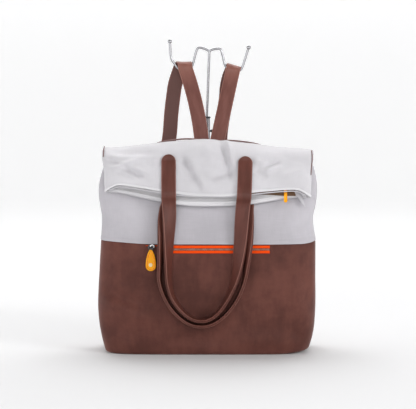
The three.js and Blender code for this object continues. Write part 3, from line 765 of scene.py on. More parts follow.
@dataclass(frozen=True)
class StrapCut:
    """The cross-section of a strap.

    Args:
        groove: how deep the line between its two plies is at the edges.
        crown: how far its faces swell.
        wall_share: how much of it, from the middle, has the finish of its edge.
        edge: how its edge turns: in and out, as shares of half its thickness.
        face: where its faces have corners, as shares of half its width.
    """

    width: float
    thickness: float
    groove: float = 0.7
    crown: float = 0.35
    wall_share: float = 0.15
    edge: Pairs = ((0.16, 0.14), (0, 0.42), (0.1, 0.74), (0.42, 0.95))
    face: tuple[float, ...] = (0.84, 0.66, 0.4, 0.0)

    def outline(self) -> Array:
        """The section's corners.

        Returns:
            Their places across and through.
        """
        half, deep = self.width / 2, self.thickness / 2
        edge = [(half - self.groove, 0.0)]
        edge += [(half - inset * deep, out * deep) for inset, out in self.edge]
        face = [(half * t, deep + self.crown * (1 - t * t)) for t in self.face]
        quarter = edge + face
        top = quarter + [(-a, n) for a, n in quarter[::-1][1:]]
        return np.array(top + [(-a, -n) for a, n in top[1:-1]])


def frames_of(stations: Sequence[Station]) -> tuple[Array, Array, Array]:
    """Where a strap runs and which way it faces.

    Args:
        stations: the places along it.

    Returns:
        Their centres, and their directions across and through.
    """
    centres = np.array([s.centre for s in stations])
    tangent = np.gradient(centres, axis=0)
    tangent /= np.linalg.norm(tangent, axis=1, keepdims=True)
    turn = np.radians([s.turn for s in stations])
    lean = np.radians([s.lean for s in stations])
    across = np.stack([np.cos(turn), np.sin(turn), np.tan(lean)], axis=1)
    across -= tangent * (across * tangent).sum(axis=1, keepdims=True)
    across /= np.linalg.norm(across, axis=1, keepdims=True)
    return centres, across, np.cross(tangent, across)


def refined(run: Sequence[Station], steps: int) -> list[Station]:
    """Puts more stations on a smooth line through a few.

    Args:
        run: the few.
        steps: how many steps there are between each two.

    Returns:
        All the stations.
    """
    centres = smooth_path([s.centre for s in run], steps)
    turns = Profile(tuple(range(len(run))), tuple(s.turn for s in run))
    at = np.linspace(0, len(run) - 1, len(centres))
    return [Station(tuple(centre), float(turn)) for centre, turn in zip(centres, turns(at))]


def smooth_path(points: Sequence[Sequence[float]], steps: int) -> Array:
    """A smooth line through points.

    Args:
        points: the points.
        steps: how many steps there are between each two.

    Returns:
        The points of the line.
    """
    knots = tuple(range(len(points)))
    at = np.linspace(0, len(points) - 1, (len(points) - 1) * steps + 1)
    return np.stack([Profile(knots, tuple(float(p[i]) for p in points))(at) for i in range(3)], axis=1)


def round_tip(radius: float, from_degrees: int, to_degrees: int, step: int) -> list[float]:
    """How far the points of a strap's round tip are from its end, for angles round the tip in degrees."""
    return [radius * (1 - math.cos(math.radians(a))) for a in range(from_degrees, to_degrees, step)]


# A strap's end: its least width as a share, and how its thickness grows with its width
END_WIDTH, END_THICKNESS, THICKNESS_GROWTH = 0.05, 0.55, 0.9


def strap(name: str, stations: Sequence[Station], cut: StrapCut, widths: Array | None = None) -> Piece:
    """A strap swept through stations, with round ends.

    Args:
        name: the piece's name.
        stations: where it runs.
        cut: its cross-section.
        widths: its width at each station as a share, or None for round ends.

    Returns:
        The piece.
    """
    centres, across, through = frames_of(stations)
    runs = lengths_along(centres)
    if widths is None:
        radius = cut.width / 2
        left = np.minimum(np.minimum(runs, runs[-1] - runs), radius)
        widths = np.maximum(np.sqrt(np.maximum(radius**2 - (radius - left) ** 2, 0)) / radius, END_WIDTH)
    outline = cut.outline()
    thick = np.minimum(1, END_THICKNESS + widths * THICKNESS_GROWTH)
    a = outline[:, 0][None, :, None] * widths[:, None, None]
    n = outline[:, 1][None, :, None] * thick[:, None, None]
    points = centres[:, None] + a * across[:, None] + n * through[:, None]
    wall = np.abs(outline[:, 1]) < cut.wall_share * cut.thickness
    flat = np.where(wall, np.sign(outline[:, 0]) * cut.width / 2, outline[:, 0])
    mould = Mould()
    mould.cap(mould.add_grid(points, np.append(flat, flat[0]), runs), len(stations), len(outline))
    return mould.make(name, crisp=50)


def wire(mould: Mould, path: Array, radius: float, sides: int = 20, swell: float = 0) -> None:
    """Adds a round wire with round ends to a mould.

    Args:
        mould: what to add it to.
        path: the points of its middle.
        radius: its radius.
        sides: points round it.
        swell: how much thicker a ball on its last end is, as a share, or 0 for none.
    """
    path = np.asarray(path, float)
    tangent = np.gradient(path, axis=0)
    tangent /= np.linalg.norm(tangent, axis=1, keepdims=True)
    side = np.cross(tangent[0], [0.0, 1.0, 0.0])
    side = side if np.linalg.norm(side) > 0.1 else np.cross(tangent[0], [1.0, 0.0, 0.0])
    angle = turns_of(sides)[:, None]
    rings, runs, lengths = [], [], lengths_along(path)

    def put(centre: Array, t: Array, r: float, run: float) -> None:
        """Adds a ring.

        Args:
            centre: its middle.
            t: the direction that it is square to.
            r: its radius.
            run: how far along the wire it is.
        """
        nonlocal side
        side = side - t * (side @ t)
        side /= np.linalg.norm(side)
        rings.append(centre + r * (np.cos(angle) * side + np.sin(angle) * np.cross(t, side)))
        runs.append(run)

    first_steps, last_steps, tip = 4, 10, 0.04
    for i in range(first_steps):
        bend = math.pi / 2 * (1 - i / first_steps)
        put(path[0] - tangent[0] * radius * math.sin(bend), tangent[0], radius * max(math.cos(bend), tip), -i)
    for centre, t, run in zip(path[:-1], tangent[:-1], lengths[:-1]):
        put(centre, t, radius, run)
    big = radius * (1 + swell)
    first = math.asin(min(radius / big, 1)) if swell else math.pi / 2
    for i in range(last_steps + 1):
        bend = lerp(first, math.pi - tip, i / last_steps)
        reach = -big * math.cos(bend) + (big * math.cos(first) if swell else 0)
        put(path[-1] + tangent[-1] * reach, tangent[-1], big * math.sin(bend), lengths[-1] + reach)
    around = np.linspace(0, 2 * math.pi * radius, sides + 1)
    mould.cap(mould.add_grid(np.stack(rings), around, np.array(runs)), len(rings), sides)


def turned(mould: Mould, profile: Sequence[Pair], middle: Pair, sides: int = 40) -> None:
    """Adds a piece turned about an upright axis.

    Args:
        mould: what to add it to.
        profile: its closed profile, as radius and height.
        middle: x and y of its axis.
        sides: points round it.
    """
    angle = turns_of(sides)
    x, y = np.cos(angle), np.sin(angle)
    rows = [np.stack([middle[0] + r * x, middle[1] + r * y, np.full(sides, z)], axis=1) for r, z in profile]
    runs = lengths_along(np.array(profile, float))
    start = mould.add_grid(np.stack(rows), np.linspace(0, 100, sides + 1), runs)
    mould.join(start + (len(profile) - 1) * sides, start, sides)


def loft(mould: Mould, layers: Sequence[Array]) -> None:
    """Adds a piece through outlines laid one on another, closed flat at both ends.

    Args:
        mould: what to add it to.
        layers: the points of the outlines.
    """
    grid = np.stack(layers)
    around = lengths_along(np.concatenate([grid[0], grid[0][:1]]))
    mould.cap(mould.add_grid(grid, around, lengths_along(grid[:, 0])), len(layers), grid.shape[1])


def upright(x: Array, y: float, z: Array) -> Array:
    """Points at these x and z in an upright plane at y."""
    return np.stack([x, np.full(len(x), y), z], axis=1)


def soft_corners(low: Pair, high: Pair, radius: float, inset: float, steps: int) -> Array:
    """The outline of an oblong with round corners.

    Args:
        low: its lower left corner.
        high: its upper right corner.
        radius: the radius of its corners.
        inset: how far the outline is drawn in.
        steps: steps round each corner.

    Returns:
        The two places of each point.
    """
    (a0, b0), (a1, b1), r = low, high, radius
    corners = ((a1 - r, b0 + r, -90), (a1 - r, b1 - r, 0), (a0 + r, b1 - r, 90), (a0 + r, b0 + r, 180))
    points = []
    for a, b, first in corners:
        for i in range(steps + 1):
            turn = math.radians(first + 90 * i / steps)
            points.append((a + (r - inset) * math.cos(turn), b + (r - inset) * math.sin(turn)))
    return np.array(points)


def rounded_box(mould: Mould, low: Point, high: Point, bevel: float) -> None:
    """Adds a box with soft edges to a mould, laid out along Y.

    Args:
        mould: what to add it to.
        low: its lowest corner.
        high: its highest corner.
        bevel: the radius of its edges.
    """
    (x0, y0, z0), (x1, y1, z1) = low, high
    small = bevel * 0.55
    turn = small * 0.3
    steps = ((small, y1), (turn, y1 - turn), (0, y1 - small), (0, y0 + small), (turn, y0 + turn), (small, y0))
    layers = []
    for inset, y in steps:
        corners = soft_corners((x0, z0), (x1, z1), bevel, inset, 4)
        layers.append(upright(corners[:, 0], y, corners[:, 1]))
    loft(mould, layers)


# Node work


class Flow:
    """A value that flows through a material, with Python's operators for its maths."""

    def __init__(self, bench: "Bench", socket: bpy.types.NodeSocket) -> None:
        """Wraps an output socket of a bench's material."""
        self.bench, self.socket = bench, socket

    def __add__(self, other: "Flow | float") -> "Flow":
        """Adds."""
        return self.bench.math("ADD", self, other)

    __radd__ = __add__

    def __sub__(self, other: "Flow | float") -> "Flow":
        """Takes away."""
        return self.bench.math("SUBTRACT", self, other)

    def __mul__(self, other: "Flow | float") -> "Flow":
        """Multiplies."""
        return self.bench.math("MULTIPLY", self, other)

    __rmul__ = __mul__

    def __truediv__(self, other: "Flow | float") -> "Flow":
        """Divides."""
        return self.bench.math("DIVIDE", self, other)

    def __abs__(self) -> "Flow":
        """Drops the sign."""
        return self.bench.math("ABSOLUTE", self)

    def fraction(self) -> "Flow":
        """What is left after the whole number."""
        return self.bench.math("FRACT", self)

    def sine(self) -> "Flow":
        """The sine."""
        return self.bench.math("SINE", self)

    def between(self, low: float, high: float) -> "Flow":
        """Rises softly.

        Args:
            low: the value where it is 0.
            high: the value where it is 1.

        Returns:
            The soft step.
        """
        span = {"Value": self, "From Min": low, "From Max": high, "To Min": 0.0, "To Max": 1.0}
        return self.bench.node("MapRange", "Result", {"interpolation_type": "SMOOTHSTEP"}, span)


Input = Flow | float | Sequence[float]


class Bench:
    """Where one material is put together."""

    def __init__(self, name: str) -> None:
        """Starts an empty material.

        Args:
            name: the material's name.
        """
        self.material = bpy.data.materials.new(name)
        self.material.use_nodes = True
        self.tree = self.material.node_tree
        self.tree.nodes.clear()

    def node(self, kind: str, output: str | int, settings: dict, inputs: dict[str | int, Input]) -> Flow:
        """Adds a node.

        Args:
            kind: the node's type.
            output: the socket that its value comes from.
            settings: its options, set first.
            inputs: a value or a flow for each socket that is named.

        Returns:
            The value.
        """
        node = self.tree.nodes.new("ShaderNode" + kind)
        for key, value in settings.items():
            setattr(node, key, value)
        for key, value in inputs.items():
            if isinstance(value, Flow):
                self.tree.links.new(value.socket, node.inputs[key])
            else:
                node.inputs[key].default_value = value
        return Flow(self, node.outputs[output])

    def math(self, operation: str, *values: Flow | float) -> Flow:
        """Works on one or two values."""
        return self.node("Math", 0, {"operation": operation}, dict(enumerate(values)))

    def flat(self) -> tuple[Flow, Flow, Flow]:
        """The piece's flat layout.

        Returns:
            The place, and its two parts in metres: across or round, and along.
        """
        place = self.node("UVMap", "UV", {"uv_map": "flat"}, {})
        across, along = (self.node("SeparateXYZ", part, {}, {0: place}) for part in (0, 1))
        return place, across, along

    def space(self) -> Flow:
        """The place in the object, in metres."""
        return self.node("TexCoord", "Object", {}, {})

    def stretched(self, place: Flow, scale: Point) -> Flow:
        """A place stretched along its axes."""
        return self.node("VectorMath", 0, {"operation": "MULTIPLY"}, {0: place, 1: scale})

    def length(self, place: Flow) -> Flow:
        """How far a place is from the middle."""
        return self.node("VectorMath", "Value", {"operation": "LENGTH"}, {0: place})

    def noise(self, place: Flow, scale: float, detail: float = 3, rough: float = 0.55) -> Flow:
        """Uneven cloudy variation from 0 to 1."""
        inputs = {"Vector": place, "Scale": scale, "Detail": detail, "Roughness": rough}
        return self.node("TexNoise", 0, {}, inputs)

    def cells(self, place: Flow, scale: float) -> Flow:
        """Distance to the middle of the nearest of many cells."""
        return self.node("TexVoronoi", "Distance", {}, {"Vector": place, "Scale": scale})

    def mix(self, amount: Flow, a: Flow | Colour, b: Flow | Colour) -> Flow:
        """Goes from one colour to another.

        Args:
            amount: how far it goes, from 0 to 1.
            a: the first colour.
            b: the second colour.

        Returns:
            The colour between them.
        """
        first, second = (shade if isinstance(shade, Flow) else (*shade, 1) for shade in (a, b))
        return self.node("Mix", 2, {"data_type": "RGBA"}, {0: amount, 6: first, 7: second})

    def bump(self, height: Flow, distance: float, strength: float, under: Flow | None = None) -> Flow:
        """Relief from a height.

        Args:
            height: the height, from 0 to 1.
            distance: what 1 stands for, in metres.
            strength: how much of it shows.
            under: relief that it lies on.

        Returns:
            The direction of the surface.
        """
        inputs: dict[str | int, Input] = {"Height": height, "Distance": distance, "Strength": strength}
        if under is not None:
            inputs["Normal"] = under
        return self.node("Bump", 0, {}, inputs)

    def finish(self, **inputs: Input) -> Material:
        """Ends the material in one shader.

        Args:
            inputs: the shader's sockets, named with underscores for spaces.

        Returns:
            The material.
        """
        named = {key.replace("_", " "): value for key, value in inputs.items()}
        surface = self.tree.nodes.new("ShaderNodeOutputMaterial").inputs["Surface"]
        self.tree.links.new(self.node("BsdfPrincipled", 0, {}, named).socket, surface)
        return self.material


# Finishes


@dataclass(frozen=True)
class Finish:
    """What a piece is made of."""

    name: str
    slot: str
    dark: Colour
    light: Colour

    @cache
    def material(self) -> Material:
        """Makes the material, once."""
        return self.dress(Bench(self.name))

    def dress(self, bench: Bench) -> Material:
        """Puts the finish together on a bench."""
        raise NotImplementedError


@dataclass(frozen=True)
class CoatedCloth(Finish):
    """Soft coated cloth with a fine grain and slow mottling."""

    grain: float = 900

    def dress(self, bench: Bench) -> Material:
        """Mottles the cloth, streaks it along its run and grains it.

        Args:
            bench: where it is put together.

        Returns:
            The material.
        """
        place = bench.flat()[0]
        mottle = bench.noise(place, scale=12, detail=6, rough=0.62)
        streaks = bench.noise(bench.stretched(place, (60, 18, 1)), scale=1, rough=0.6)
        tone = (mottle * 0.7 + streaks * 0.3).between(0.36, 0.66)
        fine = bench.noise(place, scale=self.grain * 1.6, detail=2)
        grain = bench.bump(bench.cells(place, self.grain) * 0.7 + fine * 0.5, distance=0.0002, strength=0.5)
        return bench.finish(
            Base_Color=bench.mix(tone, self.dark, self.light),
            Roughness=0.5 + streaks * 0.14 + fine * 0.1,
            Specular_IOR_Level=0.22,
            Sheen_Weight=0.2,
            Sheen_Tint=(0.9, 0.66, 0.62, 1),
            Normal=bench.bump(mottle, distance=0.0016, strength=0.35, under=grain),
        )


@dataclass(frozen=True)
class Canvas(Finish):
    """Pale canvas with a close plain weave and a soft coating.

    Args:
        threads: threads to the metre.
        painted_light_share: how much paler it is painted over the fold and round the mouth: painted light
            where those faces catch more of it.
        fold: how far along the cloth the fold starts and is reached, in metres.
        mouth: the same for the mouth.
    """

    threads: float = 1300
    painted_light_share: float = 0.23
    fold: Pair = (0.13, 0.2)
    mouth: Pair = (0.342, 0.352)

    def dress(self, bench: Bench) -> Material:
        """Weaves the cloth, clouds it and paints light on it, paler over the fold and round the mouth.

        Args:
            bench: where it is put together.

        Returns:
            The material.
        """
        place, across, along = bench.flat()
        cloud = bench.noise(place, scale=9, detail=4)
        slub = bench.noise(bench.stretched(place, (30, 900, 1)), scale=1, detail=2) * 0.5
        slub = slub + bench.noise(bench.stretched(place, (900, 30, 1)), scale=1, detail=2) * 0.5
        turns = 2 * math.pi * self.threads
        weave = (across * turns).sine() * (along * turns).sine() * 0.5 + 0.5
        threads = bench.bump(weave * 0.6 + slub * 0.4, distance=0.00012, strength=0.4)
        tone = (cloud * 0.7 + slub * 0.3).between(0.3, 0.7)
        # Painted light: paler over the fold and round the mouth, where those faces catch more light
        pale = (along.between(*self.fold) + along.between(*self.mouth) * 0.8) * self.painted_light_share
        return bench.finish(
            Base_Color=bench.mix(pale, bench.mix(tone, self.dark, self.light), (1, 1, 1)),
            Roughness=0.58 + slub * 0.14,
            Specular_IOR_Level=0.25,
            Sheen_Weight=0.06,
            Normal=bench.bump(bench.noise(place, scale=45), distance=0.0008, strength=0.25, under=threads),
        )


@dataclass(frozen=True)
class StrapHide(Finish):
    """Strap material with paler edges and a row of stitches along each side, with an optional painted
    highlight on its bend and painted shade on its run behind. Lengths are in metres.

    Args:
        edge: the colour of its worn edges, also used for the painted highlight on its bend.
        thread: the colour of its thread, also used for the painted shade on its run behind the bend.
        painted_shade_from: how far along the painted shade starts, after the painted highlight on the bend.
        inset: how far the stitches are from the edge.
        seam: how far from the stitches' line their groove ends and is full.
        gap: where a stitch ends and is full, as shares of the pitch.
        rim: how far from the edge the worn rim starts, is full, fades and ends.
        wall: how far from the edge the strap's wall starts and is full.
        bend: how far before the painted shade the painted highlight on the bend starts and is full.
        fade: how long the painted shade takes to grow.
    """

    edge: Colour = (0.38, 0.17, 0.13)
    thread: Colour = (0.10, 0.036, 0.028)
    width: float = 0.026
    rough: float = 0.42
    painted_shade_from: float = 9
    inset: float = 0.0024
    pitch: float = 0.0036
    seam: Pair = (0.0006, 0.0002)
    gap: Pair = (0.42, 0.34)
    rim: tuple[float, float, float, float] = (0.0016, 0.0011, 0.0005, 0.0002)
    wall: Pair = (0.0001, 0.00003)
    bend: Pair = (0.07, 0.01)
    fade: float = 0.02

    def dress(self, bench: Bench) -> Material:
        """Clouds the hide, paints a highlight on its bend and shade on its run behind, stitches it and wears
        its edges.

        Args:
            bench: where it is put together.

        Returns:
            The material.
        """
        place, across, along = bench.flat()
        side, half, shade = abs(across), self.width / 2, self.painted_shade_from
        fine = bench.noise(place, scale=2200, detail=2)
        cloud = bench.noise(bench.stretched(place, (60, 14, 1)), scale=1, detail=4, rough=0.6)
        line = abs(side - (half - self.inset)).between(*self.seam)
        stitch = line * abs((along / self.pitch).fraction() - 0.5).between(*self.gap)
        rim = side.between(half - self.rim[0], half - self.rim[1])
        rim = rim * side.between(half - self.rim[3], half - self.rim[2])
        base = bench.mix(cloud.between(0.32, 0.7), self.dark, self.light)
        # Painted highlight on the bend over the hook, then painted shade on the run behind it
        base = bench.mix(along.between(shade - self.bend[0], shade - self.bend[1]) * 0.32, base, self.edge)
        base = bench.mix(along.between(shade, shade + self.fade) * 0.9, base, self.thread)
        base = bench.mix(stitch * 0.75, base, self.thread)
        base = bench.mix(rim * 0.5, base, self.edge)
        base = bench.mix(side.between(half - self.wall[0], half - self.wall[1]) * 0.45, base, self.dark)
        seams = bench.bump(0.5 + stitch * 0.4 - line * 0.35, distance=0.0006, strength=0.8)
        grain = bench.cells(place, 1100) * 0.6 + fine * 0.4
        return bench.finish(
            Base_Color=base,
            Roughness=self.rough + cloud * 0.12 + fine * 0.06,
            Specular_IOR_Level=0.3,
            Normal=bench.bump(grain, distance=0.0001, strength=0.45, under=seams),
        )


@dataclass(frozen=True)
class WovenTape(Finish):
    """Zip tape with close crosswise ribs, this many to the metre."""

    ribs: float = 1100

    def dress(self, bench: Bench) -> Material:
        """Weaves the tape and fuzzes it.

        Args:
            bench: where it is put together.

        Returns:
            The material.
        """
        place, across, along = bench.flat()
        turns = 2 * math.pi * self.ribs
        rib = (along * turns).sine() * 0.5 + 0.5
        thread = (across * turns * 0.8).sine() * 0.5 + 0.5
        weave = rib * 0.7 + thread * 0.3
        fuzz = bench.noise(place, scale=500)
        return bench.finish(
            Base_Color=bench.mix((weave * 0.5 + fuzz * 0.5).between(0.2, 0.8), self.dark, self.light),
            Roughness=0.62 + fuzz * 0.15,
            Specular_IOR_Level=0.12,
            Normal=bench.bump(weave, distance=0.00015, strength=0.7),
        )


@dataclass(frozen=True)
class MouldedPlastic(Finish):
    """Plastic with slight unevenness, this dull and with this much of a clear coat."""

    rough: float = 0.3
    coat: float = 0.0

    def dress(self, bench: Bench) -> Material:
        """Clouds the plastic a little.

        Args:
            bench: where it is put together.

        Returns:
            The material.
        """
        place = bench.space()
        fine = bench.noise(place, scale=2600, detail=2)
        cloud = bench.noise(place, scale=120)
        return bench.finish(
            Base_Color=bench.mix(cloud.between(0.3, 0.7), self.dark, self.light),
            Roughness=self.rough + fine * 0.08,
            Specular_IOR_Level=0.22,
            Coat_Weight=self.coat,
            Coat_Roughness=0.06,
            Normal=bench.bump(fine, distance=0.00004, strength=0.4),
        )


@dataclass(frozen=True)
class PolishedSteel(Finish):
    """Chromed steel with faint wiping marks, this dull."""

    rough: float = 0.2

    def dress(self, bench: Bench) -> Material:
        """Clouds the steel and marks it along its height.

        Args:
            bench: where it is put together.

        Returns:
            The material.
        """
        place = bench.space()
        marks = bench.noise(bench.stretched(place, (900, 900, 60)), scale=1)
        return bench.finish(
            Base_Color=bench.mix(bench.noise(place, scale=60), self.dark, self.light),
            Metallic=1.0,
            Roughness=self.rough + marks * 0.12,
            Normal=bench.bump(marks, distance=0.00003, strength=0.3),
        )


@dataclass(frozen=True)
class Backdrop(Finish):
    """Plain pale paper, lit through away from the bag."""

    glow: float = 0.44
    lit: Pair = (0.5, 3.0)

    def dress(self, bench: Bench) -> Material:
        """Lights the paper through.

        Args:
            bench: where it is put together.

        Returns:
            The material.
        """
        place = bench.space()
        far = bench.length(place).between(*self.lit)
        return bench.finish(
            Base_Color=bench.mix(bench.noise(place, scale=40, detail=2), self.dark, self.light),
            Roughness=0.9,
            Specular_IOR_Level=0.1,
            Emission_Color=bench.mix(far, (0, 0, 0), (self.glow, self.glow, self.glow)),
            Emission_Strength=1.0,
        )


CLOTH = CoatedCloth("coated_cloth", "brown_cloth", (0.074, 0.021, 0.0145), (0.134, 0.044, 0.0315))
# The canvas carries painted light: it is painted paler over the fold and round the mouth
CANVAS = Canvas("pale_canvas", "grey_canvas", (0.405, 0.388, 0.415), (0.515, 0.496, 0.528))
# Paler canvas for the rolled edges and the gusset's loose corner: a painted highlight
PIPING_HIGHLIGHT = Canvas("canvas_piping_highlight", "grey_canvas", (0.49, 0.475, 0.5), (0.57, 0.555, 0.585), painted_light_share=0)
HANDLE_HIDE = StrapHide("strap_hide", "brown_strap", (0.088, 0.026, 0.0175), (0.126, 0.039, 0.028))
# The shoulder straps carry a painted highlight on the bend over the hook and painted shade on the run behind
# it
SHOULDER_HIDE = StrapHide(
    "shoulder_hide",
    "brown_strap",
    (0.128, 0.044, 0.034),
    (0.185, 0.072, 0.057),
    width=0.027,
    rough=0.34,
    painted_shade_from=0.216,
)
# Dark mauve strips behind the crest and at the fold's ends: painted shade
SHADE_STRIP = WovenTape("painted_shade_strip", "brown_strap", (0.15, 0.085, 0.08), (0.24, 0.15, 0.14))
ORANGE_TAPE = WovenTape("orange_tape", "orange_tape", (0.80, 0.045, 0.001), (0.9, 0.085, 0.002))
MOUTH_TAPE = WovenTape("mouth_tape", "mouth_tape", (0.13, 0.075, 0.045), (0.21, 0.13, 0.08))
COIL = MouldedPlastic("zip_coil", "zip_teeth", (0.24, 0.12, 0.08), (0.38, 0.21, 0.15), 0.35)
YELLOW = MouldedPlastic("yellow_pull", "yellow_plastic", (1.0, 0.37, 0.001), (1.0, 0.46, 0.002), 0.3, 0.05)
ORANGE_LINE = MouldedPlastic(
    "orange_line", "yellow_plastic", (0.8, 0.14, 0.008), (0.86, 0.18, 0.01), rough=0.25, coat=0.5
)
PALE_DOT = MouldedPlastic("pale_dot", "yellow_plastic", (0.84, 0.66, 0.38), (0.9, 0.74, 0.46), 0.35)
STEEL = PolishedSteel("polished_steel", "chrome", (0.32, 0.32, 0.332), (0.4, 0.4, 0.415))
# A much paler copy of the steel for the pocket slider's loop: a painted highlight
HIGHLIGHT_STEEL = PolishedSteel("highlight_steel", "chrome", (0.656, 0.656, 0.656), (0.82, 0.82, 0.82), 0.12)
# A nearly black copy of the steel for the sliders, the link and the collar; the pocket slider's plate in it
# also stands for the shade round the drop's top, as painted shade
DARK_STEEL_AND_SHADE = PolishedSteel("dark_steel_and_shade", "chrome", (0.068, 0.068, 0.072), (0.085, 0.085, 0.09), 0.28)
PAPER = Backdrop("pale_paper", "", (0.75735, 0.75735, 0.7623), (0.765, 0.765, 0.77))


def place_piece(piece: Piece, finish: Finish, *nodes: str, body: Body = Body.BAG) -> None:
    """Dresses a piece, puts it on its body and lets it stand for its nodes.

    Args:
        piece: the piece.
        finish: what it is made of.
        nodes: the nodes of the frame that it replaces.
        body: the body that it rides on.
    """
    piece.data.materials.append(finish.material())
    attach(piece, body.value)
    if nodes:
        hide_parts(*nodes)
    LOG.info("%s: %d faces on %s", piece.name, len(piece.data.polygons), body.value)


# Sub-assemblies


@dataclass
class BagCloth:
    """The bag's two cloth parts, sewn together at the seam, with pale piping as a painted highlight along the
    flap's edges and dark strips of painted shade behind the crest and at the fold's ends.

    Args:
        seam_rings: those of the upper part's first rings, above the seam.
        hem_rings: how far down the flap its last rings are.
        band: the band above the seam: how far it stands out, and where it ends and is full.
        stitch: the line of stitches above the seam: its depth, its height and its width.
        hem: the hem at the flap's edge: how far it stands out, and how wide it is.
        hem_stitch: its line of stitches: its depth, its distance from the hem and its width.
        lip_left: x where the inner layer's curled edge starts and is full.
        crest_shades: the thin dark strips behind the crest, painted shade of the rear cloth there: the name
            and the two ends of each.
        ends: the dark strips at the ends of the fold, painted shade of its open ends: the name, the side and
            the two heights of each.
    """

    form: BagForm = field(default_factory=BagForm)
    lower_count: int = 320
    upper_count: int = 432
    foot_rings: tuple[float, ...] = (0, 0.3, 1.2, 2.8, 5, 8, 12, 17, 23)
    seam_rings: tuple[float, ...] = (0.3, 1.1, 2.8, 4.8, 5.9, 6.9, 7.9, 10.3)
    hem_rings: tuple[float, ...] = (0.918, 0.929, 0.936, 0.942, 0.948, 0.956, 0.972, 0.988, 0.997, 1)
    band: Point = (0.7, 7.6, 6.0)
    stitch: Point = (0.35, 4.6, 0.9)
    hem: Pair = (1.5, 5.4)
    hem_stitch: Point = (0.5, 1.4, 0.8)
    lip: float = 3.2
    lip_left: Pair = (-172, -140)
    lip_right: Pair = (118, 88)
    corner_lift: float = 5.5
    crest_shades: tuple[tuple[str, float, float], ...] = (
        ("crest_shade_left", -92, -20),
        ("crest_shade_right", 26, 96),
    )
    ends: tuple[tuple[str, Side, float, float], ...] = (
        ("fold_end_shade_left", Side.LEFT, 373, 356),
        ("fold_end_shade_right", Side.RIGHT, 366, 324),
    )

    def lower(self) -> Piece:
        """The brown tub below the seam.

        Returns:
            The piece.
        """
        f = self.form
        loom = Loom(f, self.lower_count)
        heights = [*self.foot_rings, *np.linspace(30, f.seam - 3, 44), f.seam - 2, f.seam - 1, f.seam]
        sheet = loom.sheet([loom.body(z) for z in heights], [0] * len(heights))
        x, z = sheet.points[..., 0], sheet.points[..., 2]
        front = smooth(0.1, 0.9, -sheet.out) * f.front_relief(x, z)
        back = smooth(0.1, 0.9, sheet.out) * f.back_relief(x, z)
        tuck = -self.band[0] * smooth(f.seam - 3, f.seam, z)
        rings = sheet.points + normals_of(sheet.points) * (front + back + tuck)[..., None]
        rings[..., 2] += f.seam_shift(x / f.width * 2) * smooth(110, f.seam, z)
        rings[..., 2] += self.corner_lift * smooth(128, 196, x) * smooth(46, 0, z)
        return shell("lower_body_cloth", rings, f.wall, True)

    def upper(self) -> Piece:
        """The pale upper part, folded forward over its top.

        Returns:
            The piece.
        """
        f = self.form
        loom = Loom(f, self.upper_count)
        heights = [f.seam + up for up in self.seam_rings] + list(np.linspace(f.seam + 14.3, f.shoulder, 28))
        turns = [math.pi * (i + 1) / 26 for i in range(26)]
        downs = [*np.linspace(1 / 26, 0.9, 24), *self.hem_rings]
        rings = [*map(loom.body, heights), *map(loom.fold, turns), *map(loom.flap, downs)]
        flap = [0.0] * len(heights) + [float(smooth(math.radians(70), math.radians(120), t)) for t in turns]
        sheet = loom.sheet(rings, flap + [1.0] * len(downs))
        relief = self.upper_relief(sheet, len(heights) + len(turns), np.array(downs))
        points = sheet.points + normals_of(sheet.points) * relief[..., None]
        x, z = sheet.points[: len(heights), :, 0], sheet.points[: len(heights), :, 2]
        points[: len(heights), :, 2] += f.seam_shift(x / f.width * 2) * smooth(290, f.seam, z)
        return shell("upper_body_cloth", points, f.wall, False)

    def upper_relief(self, sheet: Sheet, flap_start: int, downs: Array) -> Array:
        """How far the upper part's cloth stands out at each point.

        Args:
            sheet: the plain cloth.
            flap_start: the number of the flap's first ring.
            downs: how far down the flap each of its rings is.

        Returns:
            The distances along the cloth's outward directions.
        """
        f = self.form
        x, z, out = sheet.points[..., 0], sheet.points[..., 2], sheet.out
        front, back = smooth(0.1, 0.9, -out), smooth(0.1, 0.9, out)
        body = front * f.front_relief(x, z) * smooth(f.shoulder, 280, z) + back * f.back_relief(x, z)
        fold = sheet.flap * back * f.flap_relief(x, z)
        up = z - f.seam
        band, (deep, height, width) = self.band, self.stitch
        seam = band[0] * smooth(*band[1:], up) - deep * np.exp(-(((up - height) / width) ** 2))
        seam[flap_start:] = 0
        length, (out_by, hem) = f.drop * (1 - downs), self.hem
        deep, off, width = self.hem_stitch
        line = deep * np.exp(-(((length - hem - off) / width) ** 2))
        step = out_by * smooth(hem + 0.9, hem - 0.3, length) - line
        edge, lip = np.zeros_like(x), np.zeros_like(x)
        edge[flap_start:] = step[:, None]
        lip[flap_start:] = smooth(15, 0, length)[:, None]
        curl = sheet.flap * front * lip * self.lip_out(x)
        return (1 - sheet.flap) * body + fold + seam * (up < 12) + edge - curl

    def lip_out(self, x: Array) -> Array:
        """How far the inner layer's edge curls forward."""
        return self.lip * smooth(*self.lip_left, x) * smooth(*self.lip_right, x)

    def piping(self, name: str, outer: bool) -> Piece:
        """The rolled edge of a layer, in paler canvas as a painted highlight.

        Args:
            name: the piece's name.
            outer: whether it is the outer layer, or else the inner one.

        Returns:
            The piece.
        """
        f, mould = self.form, Mould()
        end = f.flap_half(1) - 5
        xs = np.linspace(-end, end, 150)
        z = f.outer_edge(xs) if outer else f.inner_edge(xs)
        y = f.shown_face(xs, z) - 1.1 if outer else f.flap_under(xs, z) + 0.3 - self.lip_out(xs)
        wire(mould, np.stack([xs, y, z - 0.2], axis=1), 1.0, 14)
        return mould.make(name)

